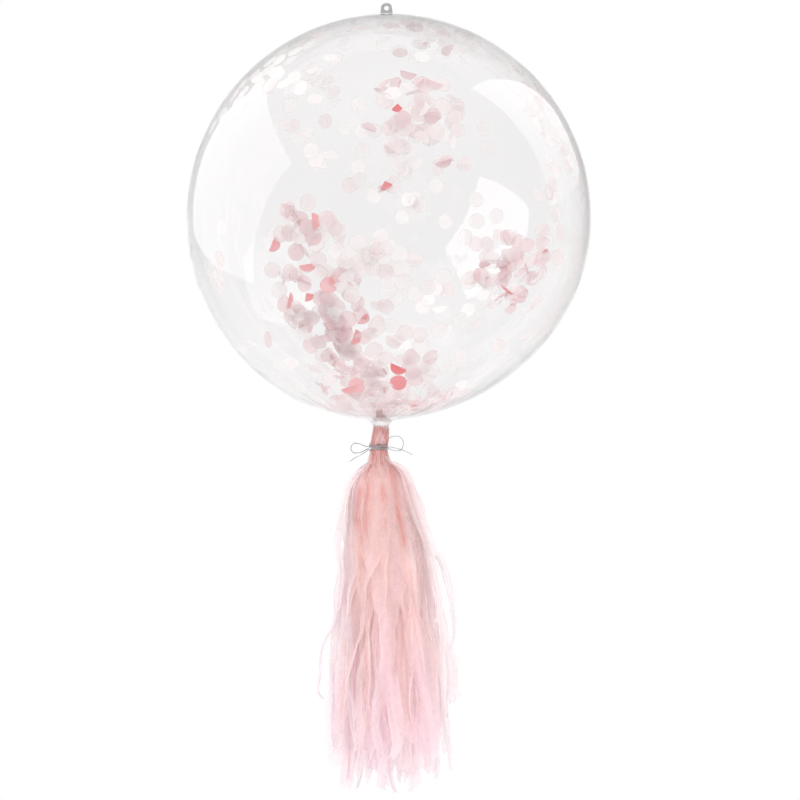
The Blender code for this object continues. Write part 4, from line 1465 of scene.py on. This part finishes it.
class Ribbon:
    """One cut strip of tissue, from under the thread to its ragged end."""

    def __init__(self, shell, angle, width, length, inset, seed):
        dice = random.Random(seed)
        self.shell = shell
        self.angle = angle
        self.width = width * dice.choice(STRIP_WIDTHS)
        self.length = min(length * dice.uniform(0.86, 1.0), LONGEST_STRIP)
        self.inset = inset
        self.fullness = dice.uniform(0.84, 1.0)
        self.sway = dice.uniform(0.01, 0.05)
        self.sway_length = dice.uniform(0.18, 0.42)
        self.sway_start = any_angle(dice)
        self.billow = dice.uniform(0.02, 0.09)
        self.billow_start = any_angle(dice)
        self.twist = dice.uniform(-1.0, 1.0) * (2.2 if dice.random() < 0.30 else 0.8)
        self.twist_wave = dice.uniform(0.1, 0.5)
        starts = [dice.uniform(0.0, WAVE_TURN) for _ in CREASE_WAVES]
        waves = [(*wave, start) for wave, start in zip(CREASE_WAVES, starts)]
        self.crease = [
            sum(deep * math.sin(tight * off_middle(step) + start) for deep, tight, start in waves)
            for step in range(ACROSS)
        ]
        self.flutter = [any_angle(dice) for _ in range(6)]
        self.cup = dice.uniform(-1.0, 1.0) * 0.35
        self.slant = dice.uniform(-0.8, 0.8)
        self.curl = dice.uniform(-1.0, 1.0) if dice.random() < 0.35 else 0.0
        self.drift = dice.uniform(-0.55, 0.55)
        self.kink = [
            (dice.uniform(0.07, 0.15), dice.uniform(0.0, WAVE_TURN), dice.uniform(0.0, 0.0016))
            for _ in range(2)
        ]
        sideways = blend(0.3, 1.35, abs(math.sin(angle)))
        self.turned = dice.choice((-1.0, 1.0)) * dice.uniform(0.3, 1.0) * sideways
        self.shade = dice.random()
        self.slit = dice.uniform(0.10, 0.24)
        self.veil = dice.uniform(1.2, 2.2)
        self.taper = dice.uniform(0.2, 0.7) if dice.random() < 0.3 else 0.0
        self.bends = [(0.03, 0.0, 0.0, 0.0)]
        walked = dice.uniform(0.06, 0.13)
        while walked < 0.60:
            grown = min(walked / 0.30, 1.0)
            self.bends.append((
                walked, dice.uniform(-0.0060, 0.0060) * grown, dice.uniform(-0.0045, 0.0045) * grown,
                dice.uniform(-0.8, 0.8) * grown ** 1.5,
            ))
            walked += dice.uniform(0.032, 0.105)

    def bent(self, walked):
        """How far the strip is off its even line, aside and outward, and how far it is turned."""
        if walked <= self.bends[0][0]:
            return self.bends[0][1:]
        for before, after in zip(self.bends, self.bends[1:]):
            if walked < after[0]:
                share = (walked - before[0]) / (after[0] - before[0])
                return [blend(first, second, share) for first, second in zip(before[1:], after[1:])]
        return self.bends[-1][1:]

    def angle_at(self, z):
        """Where the strip hangs round the tassel at a height, 0 being the front."""
        drop = max(0.0, RIM_Z - z)
        wave = FULL_TURN * drop / self.sway_length
        swayed = self.sway * math.sin(self.sway_start + wave) * smooth_step(drop / 0.16)
        return self.angle + swayed + self.drift * (drop / FLARE_LENGTH) ** 1.4

    def centre(self, z):
        """Middle of the strip at a height below the thread."""
        drop = max(0.0, RIM_Z - z)
        radius = head_radius(z) - self.inset
        wave = FULL_TURN * drop / self.sway_length
        opened = smooth_step(drop / 0.16)
        fullness = self.fullness + self.billow * math.sin(self.billow_start + wave) * opened
        radius += self.shell.offset(drop, self.angle) * fullness
        angle = self.angle_at(z)
        squash = blend(1.0, DEPTH_SHARE, smooth_step(drop / (FLARE_LENGTH / 3.0)))
        axis_x = neck_axis_x(z) + BODY_DRIFT * smooth_step(drop / BODY_DRIFT_OVER)
        return Vector((axis_x + radius * math.sin(angle), -radius * math.cos(angle) * squash, z))

    def route(self):
        """Places down the strip at stations that are close together near the head."""
        top = TIE_Z - 0.0005
        heights = [blend(top, RIM_Z, step / HEAD_STATIONS) for step in range(HEAD_STATIONS)]
        rest = STATIONS - HEAD_STATIONS
        for step in range(rest):
            heights.append(RIM_Z - self.length * (step / (rest - 1)) ** 1.25)
        return [self.centre(z) for z in heights]

    def outward(self, place):
        """Which way the strip's outer face looks before it twists."""
        angle = self.angle_at(place.z)
        return Vector((math.sin(angle), -math.cos(angle), 0.0))

    def freed(self, walked):
        """How far the strip is cut free of the sheet, from 0 where the sheet is whole to 1."""
        return smooth_step((walked - self.slit + 0.06) / 0.12)

    def half_width(self, walked, share):
        """Half of the width: pleated at the head, wide where the sheet is whole, tapered at some ends."""
        opened = blend(PLEATED_WIDTH, self.width, smooth_step((walked - 0.012) / 0.040))
        swell = 1.0 + 0.06 * math.sin(self.flutter[5] + walked * 24.0)
        swell = swell + 0.05 * math.sin(self.flutter[3] + walked * 61.0)
        swell += self.veil * smooth_step((walked - 0.02) / 0.05) * (1.0 - self.freed(walked))
        return opened * swell * (1.0 - self.taper * smooth_step((share - 0.82) / 0.20)) / 2

    def row(self, place, along, walked, total):
        """A row's middle, the way across it and the way it faces, as the strip wavers, bends and turns."""
        outward = self.outward(place)
        sideways = outward.cross(along).normalized()
        outward = along.cross(sideways).normalized()
        freed = self.freed(walked)
        for length, start, reach in self.kink:
            wave = reach * math.sin(start + FULL_TURN * walked / length)
            place = place + sideways * (wave * loosened(walked))
        aside, forward, turned = self.bent(walked)
        place = place + (sideways * aside + outward * forward) * blend(0.5, 1.0, freed)
        turn = turned + self.twist * max(0.0, (walked - 0.06) / (total - 0.06)) ** 1.3
        turn += self.turned + self.twist_wave * math.sin(self.flutter[0] + walked * 17.0)
        turn *= freed
        across = sideways * math.cos(turn) + outward * math.sin(turn)
        return place, across, outward * math.cos(turn) - sideways * math.sin(turn)

    def beside(self, c, half, reach, walked):
        """How far aside of its row's middle a point lies: round the tassel where the sheet is whole."""
        freed = self.freed(walked)
        nick = 0.15 * math.sin(self.flutter[5] + walked * 95.0 + 2.0 * c)
        nick = nick * math.sin(walked * 37.0 + self.flutter[2])
        return blend(reach * math.sin(bow_angle(c, half, reach)), c * half, freed) * (1.0 + nick * freed)

    def rise(self, step, c, half, reach, walked, share):
        """How far a point stands off its row, in creases, a cup, ripples and a curled end."""
        loose = loosened(walked)
        creasing = 0.0024 * math.exp(-max(walked - 0.03, 0.0) / 0.16) * smooth_step((walked - 0.004) / 0.02)
        creasing += 0.0012 * loose
        flutter = self.flutter[step % len(self.flutter)]
        fold = self.crease[step] + 0.6 * math.sin(flutter + walked * 31.0 + step * 1.9) * loose
        bowed = reach * (1.0 - math.cos(bow_angle(c, half, reach)))
        rise = fold * creasing - bowed * (1.0 - self.freed(walked))
        rise += self.cup * half * (c * c - 0.4) * (0.4 + 0.8 * math.sin(self.flutter[1] + walked * 13.0))
        ripple = math.sin(self.flutter[2] + walked * 130.0 + c * 2.2)
        ripple += 0.6 * math.sin(self.flutter[3] + walked * 215.0 - c * 1.7)
        rise += 0.0006 * abs(c) ** 1.5 * ripple * loose
        rise += 0.0012 * math.sin(self.flutter[4] + walked * 58.0 + c * 1.3) * loose
        return rise + self.curl * 0.016 * max(0.0, share - 0.90) ** 1.4 * 30.0

    def tear(self, step, c, half):
        """How much further down the torn end reaches at a place across it."""
        return self.slant * c * half + 0.0035 * self.crease[step]

    def shade_at(self, step, walked, spot):
        """The shade at a point: the strip's own depth of colour, painted shade and light across its
        creases, and the painted shade and light of the sheet's front folds.
        """
        painted_crease_shade = 0.45 * self.crease[step] * (1.0 - 0.7 * self.freed(walked)) * loosened(walked)
        return self.shade + painted_crease_shade + front_shade(spot)


def off_middle(step):
    """Where a point of a row lies across its strip, from -1 at one edge to 1 at the other."""
    return 2.0 * step / (ACROSS - 1) - 1.0


def loosened(walked):
    """How far a strip is out of the head's grip, from 0 to 1."""
    return smooth_step((walked - 0.02) / 0.12)


def bow_angle(c, half, reach):
    """How far round the tassel a point of a row lies where the sheet is whole."""
    return min(max(c * half / reach, -1.6), 1.6)


class Stray(Ribbon):
    """A strip that the photograph shows apart, led through its own points."""

    def __init__(self, points, width, depth, seed, twist):
        super().__init__(MIDDLE, 0.0, width, 0.1, 0.0, seed)
        self.points = points
        self.depth = depth
        self.twist = twist
        self.veil = 0.5

    def route(self):
        """Places along the pixels that it passes, from the tassel's front back to its own depth."""
        places = []
        for index, (across, down) in enumerate(self.points):
            share = index / (len(self.points) - 1)
            x, z = from_pixel(across, down)
            places.append(Vector((x, blend(-0.012, self.depth, smooth_step(share * 2.0)), z)))
        return smooth_route(places, 0.006)

    def outward(self, place):
        """It faces the front, half turned to its own side."""
        side = place.x - neck_axis_x(TIE_Z)
        return Vector((0.6 if side > 0 else -0.6, -0.8, 0.0)).normalized()


class Sheet:
    """One tissue sheet as its points are laid, and what it measures flat."""

    def __init__(self):
        self.vertices, self.faces, self.uvs = [], [], []
        self.falls, self.edges, self.shades = [], [], []
        self.area = 0.0
        self.wide = 0.0
        self.longest = 0.0

    def add_point(self, place, uv, fall, edge, shade):
        """A point, with what its material reads: the share fallen, how near an edge, and the shade, which
        holds its tone and its painted shade.
        """
        self.vertices.append(place)
        self.uvs.append(uv)
        self.falls.append(fall)
        self.edges.append(edge)
        self.shades.append(shade)

    def add_strip(self, ribbon):
        """The rows of points down a strip, and the faces between them."""
        route = ribbon.route()
        total = route_length(route)
        start = len(self.vertices)
        last = len(route) - 1
        area = 0.0
        widest = 0.0
        walked = 0.0
        for index, place in enumerate(route):
            stepped = (place - route[index - 1]).length if index else 0.0
            walked += stepped
            share = walked / total
            along = (route[min(index + 1, last)] - route[max(index - 1, 0)]).normalized()
            middle, across, facing = ribbon.row(place, along, walked, total)
            half = ribbon.half_width(walked, share)
            area += 2.0 * half * stepped
            widest = max(widest, 2.0 * half)
            reach = max(math.hypot(middle.x - neck_axis_x(middle.z), middle.y), 0.012)
            for step in range(ACROSS):
                c = off_middle(step)
                beside = ribbon.beside(c, half, reach, walked)
                rise = ribbon.rise(step, c, half, reach, walked, share)
                spot = middle + across * beside + facing * rise
                if index == last:
                    spot += along * ribbon.tear(step, c, half)
                shade = ribbon.shade_at(step, walked, spot)
                self.add_point(spot, (c * half + ribbon.angle, walked), share, abs(c), shade)
        for row in range(last):
            for step in range(ACROSS - 1):
                low = start + row * ACROSS + step
                self.faces.append((low, low + 1, low + ACROSS + 1, low + ACROSS))
        self.area += area
        self.longest = max(self.longest, walked)
        self.wide += widest

    def add_head(self, inset, seed, top_lift, edge_angle):
        """The gathered head: wrapped a little over once round, pleated, and pinched at the thread, with
        painted shade in its pleats and by the thread.
        """
        dice = random.Random(seed)
        waves = []
        for how_many, fewest, most, faint, strong in HEAD_WAVES:
            for _ in range(how_many):
                pleats = dice.randint(fewest, most)
                waves.append((pleats, dice.uniform(0, WAVE_TURN), dice.uniform(faint, strong)))
        start = len(self.vertices)
        for ring in range(SLEEVE_RINGS):
            share = ring / (SLEEVE_RINGS - 1)
            z = blend(HEAD_TOP_Z + top_lift, TIE_Z - TIE_SHOULDER, share)
            near_tie = math.exp(-((z - TIE_Z) / 0.0050) ** 2)
            pleating = 1.0 - 0.60 * near_tie
            for step in range(SLEEVE_SEGMENTS):
                wrapped = step / (SLEEVE_SEGMENTS - 1)
                angle = edge_angle + 0.9 * (share - 0.5) + FULL_TURN * SLEEVE_WRAP * wrapped
                lean = 2.2 * math.sin(2.0 * angle + 3.0 * share + seed) * (1.0 - near_tie) + 3.0 * share
                fold = sum(
                    weight * (abs(math.sin(0.5 * (count * angle + start_angle + lean))) - 0.6)
                    for count, start_angle, weight in waves
                )
                radius = head_radius(z) - inset - 0.0012 * smooth_step((TIE_Z - z) / 0.003)
                radius = radius - 0.0007 * wrapped * pleating + min(0.00165 * pleating * fold, 0.0016)
                ragged = 0.0026 * math.sin(2.0 * angle + seed)
                ragged = ragged + 0.0009 * math.sin(11.0 * angle + seed * 2.0)
                place = Vector(head_point(z + ragged * (1.0 - share) ** 6, radius, angle))
                # Painted shade and light: deeper in the pleats' valleys and by the thread, plus the head's
                # painted folds
                shade = 0.52 + 0.40 * fold + head_shade(place) - 0.25 * near_tie
                shade = min(max(shade, -0.1), 1.1)
                self.add_point(place, (angle * 0.012, share * HEAD_LENGTH), 0.0, 0.0, shade)
        for ring in range(SLEEVE_RINGS - 1):
            for step in range(SLEEVE_SEGMENTS - 1):
                low = start + ring * SLEEVE_SEGMENTS + step
                self.faces.append((low, low + SLEEVE_SEGMENTS, low + SLEEVE_SEGMENTS + 1, low + 1))
        self.area += FULL_TURN * HEAD_SHOULDER_RADIUS * (TIE_BELOW_TOP + TIE_SHOULDER) * SLEEVE_PLEATING


def build_sheet(slot, strips, head, material):
    """One tissue sheet with its gathered head and all its strips, as one piece."""
    sheet = Sheet()
    for strip in strips:
        sheet.add_strip(strip)
    sheet.add_head(*head)
    values = {"fall": sheet.falls, "edge": sheet.edges, "shade": sheet.shades}
    item = mesh_object(slot + "_strips", sheet.vertices, sheet.faces, material, sheet.uvs, values)
    item.visible_glossy = False
    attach(item, "root")
    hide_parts(slot + "_sheet")
    flat = (sheet.wide, sheet.longest + HEAD_LENGTH * 0.5)
    area = min(sheet.area, flat[0] * flat[1])


def ring_of(shell, count, width, length, inset, seed, start):
    """Strips spaced round the head, each a little off its even place."""
    dice = random.Random(seed)
    strips = []
    for index in range(count):
        angle = FULL_TURN * (index + dice.uniform(-0.28, 0.28)) / count + start
        angle = (angle + math.pi) % FULL_TURN - math.pi
        cut = width * dice.uniform(0.8, 1.15)
        long = length * dice.uniform(0.92, 1.0)
        strips.append(Ribbon(shell, angle, cut, long, inset, seed * 100 + index))
    return strips


def at_side(strip):
    """Whether a strip hangs at the left or the right of the tassel."""
    return math.radians(62.0) < abs(strip.angle) < math.radians(118.0)


def build_tassel():
    """Peach strips outside, pearl ones at the sides, and pink ones inside and among the middle strips."""
    outer, between, middle, inner, core = (ring_of(*ring) for ring in RINGS)
    peach = [strip for strip in outer + between if not at_side(strip)] + middle[0::2]
    pearl = [strip for strip in outer + between if at_side(strip)] + [Stray(*stray) for stray in STRAYS]
    pink = middle[1::2] + inner + core
    build_sheet("peach_tissue", peach, PEACH_HEAD, PEACH)
    build_sheet("pearl_tissue", pearl, PEARL_HEAD, PEARL)
    build_sheet("pink_tissue", pink, PINK_HEAD, PINK)


build_tassel()


# Hanging eye


eye = nodes["hanging_eye"]
eye.data.materials.clear()
eye.data.materials.append(GREY_PLASTIC)


# Studio


FLOOR_Z = -1.300
FLOOR_RADIUS = 0.86

# Corners of the two softboxes, in balloon radii from the balloon's middle
LEFT_BOX = (
    (-1.173, -1.263, 0.616), (-1.134, -0.033, 1.240), (-1.327, 0.471, 0.814),
    (-1.465, 0.593, 0.451), (-1.566, 0.695, -0.088), (-1.970, -0.630, -0.925),
)
RIGHT_BOX = (
    (1.70, -0.42, 0.10), (1.70, 0.62, 0.34), (1.70, 1.00, 0.46), (1.70, 1.51, 1.23), (1.70, 1.07, 1.74),
    (1.70, -0.56, 2.67),
)

# Soft lamps: name, size, energy, degrees of spread, place and what it is aimed at
LAMPS = (
    ("tassel_lamp", 0.9, 0.62, 25.0, (-1.2, -2.4, -0.95), (0.0, 0.0, -1.05)),
    ("tassel_fill", 0.9, 0.26, 25.0, (1.5, -2.2, -0.90), (0.03, 0.0, -1.00)),
    ("rim_lamp", 0.2, 0.24, 50.0, (-0.66, -0.28, 0.28), (-0.206, -0.03, -0.108)),
)


def softbox_material(name, strength, inner, top):
    """Shines only in reflections and lets every other ray by.

    inner is how much brighter it is in the film's far wall, and top how much brighter its upper end is."""
    material, desk = new_material(name)
    far_wall = desk.ray("Transmission Depth") > 3.5
    risen = desk.part(desk.here(), "Z").smooth(BALLOON_CENTRE_Z, BALLOON_CENTRE_Z + BALLOON_RADIUS * 2.0)
    strength = strength * (1.0 + inner * far_wall) * (1.0 + top * risen)
    shown = (desk.ray("Glossy Depth") > 0.5) * (desk.ray("Diffuse Depth") < 0.5)
    clear = desk.add("BsdfTransparent")
    glow = desk.add("Emission", None, {"Strength": strength})
    desk.finish(desk.mix_shaders(shown, clear, glow))
    material.cycles.emission_sampling = "NONE"
    return material


def build_softbox(name, corners, strength, inner, top):
    """A flat fan of faces round the middle of its corners, seen only in reflections."""
    middle = Vector((BALLOON_SIDESTEP, 0.0, BALLOON_CENTRE_Z))
    places = [middle + Vector(corner) * BALLOON_RADIUS for corner in corners]
    rim = len(places)
    places.append(sum(places, Vector()) / rim)
    faces = [(step, (step + 1) % rim, rim) for step in range(rim)]
    item = mesh_object(name, places, faces, softbox_material(name, strength, inner, top))
    item.visible_diffuse = False
    item.visible_shadow = False


def build_world():
    """White where it is looked at, a soft studio where it is mirrored, a key and a fill for the rest."""
    world = bpy.data.worlds.new("studio")
    bpy.context.scene.world = world
    world.use_nodes = True
    desk = Desk(world.node_tree)
    way = desk.here("Generated")
    up = desk.part(way, "Z")
    depth = desk.part(way, "Y")
    key = desk.towards(way, (-0.45, -0.66, 0.60)).smooth(0.50, 1.0)
    fill = desk.towards(way, (0.70, -0.62, 0.35)).smooth(0.5, 1.0)
    lighting = 0.86 + 1.00 * key + 0.50 * fill

    upper_left = desk.towards(way, (-0.29, 0.91, 0.29)).smooth(0.93, 0.99)
    lower_left = desk.towards(way, (-0.33, 0.91, -0.25)).smooth(0.92, 0.99)
    upper_right = desk.towards(way, (0.45, 0.87, 0.19)).smooth(0.95, 0.995)
    studio = 0.08 + 0.22 * depth.smooth(-1.0, 0.0) + 0.36 * depth.smooth(-0.1, 0.7)
    studio = studio + 0.34 * depth.smooth(0.92, 1.0)
    studio = studio * (1.0 - 0.38 * up.smooth(0.15, 0.55))
    studio = studio + 0.30 * up.smooth(0.1, -0.5) * depth.smooth(0.0, 0.6)
    studio = studio * (1.0 - 0.04 * upper_left) + 0.26 * lower_left
    studio = studio + 0.40 * up.smooth(-0.35, -0.90)
    studio = studio * (1.0 - 0.40 * upper_right)

    glossy = desk.ray("Glossy Depth") > 0.5
    straight = desk.ray("Diffuse Depth") < 0.5
    looked_at = desk.ray("Is Camera Ray") + desk.ray("Is Transmission Ray") > 0.5
    seen = looked_at * straight * (1.0 - glossy)
    reflected = glossy * straight
    strength = lighting * (1.0 - seen) * (1.0 - reflected) + studio * reflected + 1.0 * seen
    sky = desk.add("Background", None, {"Color": (1.0, 1.0, 1.0), "Strength": strength})
    desk.finish(sky, "OutputWorld")


def build_floor():
    """A plain pale floor below the hung balloon, which fades into the white round it."""
    clear_selection()
    bpy.ops.mesh.primitive_circle_add(
        vertices=96, radius=FLOOR_RADIUS, fill_type="NGON", location=(0.0, 0.0, FLOOR_Z))
    floor = bpy.context.object
    floor.name = "floor"
    material, desk = new_material("pale_floor")
    where = desk.here()
    away = desk.add("VectorMath", {"operation": "LENGTH"}, {0: where}, "Value")
    grain = desk.noise(where, 60.0, 3.0, 0.5)
    sockets = {"Base Color": (0.86, 0.86, 0.86), "Roughness": 0.75 + 0.1 * grain, "Specular IOR Level": 0.2}
    paper = desk.add("BsdfPrincipled", None, sockets)
    clear = desk.add("BsdfTransparent")
    desk.finish(desk.mix_shaders(away.smooth(FLOOR_RADIUS * 0.55, FLOOR_RADIUS * 0.99), paper, clear))
    floor.data.materials.append(material)


def build_lamp(name, size, energy, spread, place, target):
    """A soft lamp that can't be seen, only what it lights."""
    data = bpy.data.lights.new(name, "AREA")
    data.shape = "SQUARE"
    data.size = size
    data.energy = energy
    data.spread = math.radians(spread)
    light = bpy.data.objects.new(name, data)
    light.location = place
    aim = Vector(target) - light.location
    light.rotation_euler = aim.to_track_quat("-Z", "Y").to_euler()
    light.visible_camera = False
    light.visible_glossy = False
    light.visible_transmission = False
    bpy.context.scene.collection.objects.link(light)


build_world()
build_softbox("left_softbox", LEFT_BOX, 1.3, 0.9, 0.0)
build_softbox("right_softbox", RIGHT_BOX, 0.85, 0.3, 0.5)
build_floor()
for lamp in LAMPS:
    build_lamp(*lamp)

# Plain colours, and enough bounces for light to pass both walls of the film and many layers of tissue
scene = bpy.context.scene
scene.view_settings.view_transform = "Standard"
scene.cycles.max_bounces = 24
scene.cycles.glossy_bounces = 12
scene.cycles.transmission_bounces = 20
scene.cycles.transparent_max_bounces = 12
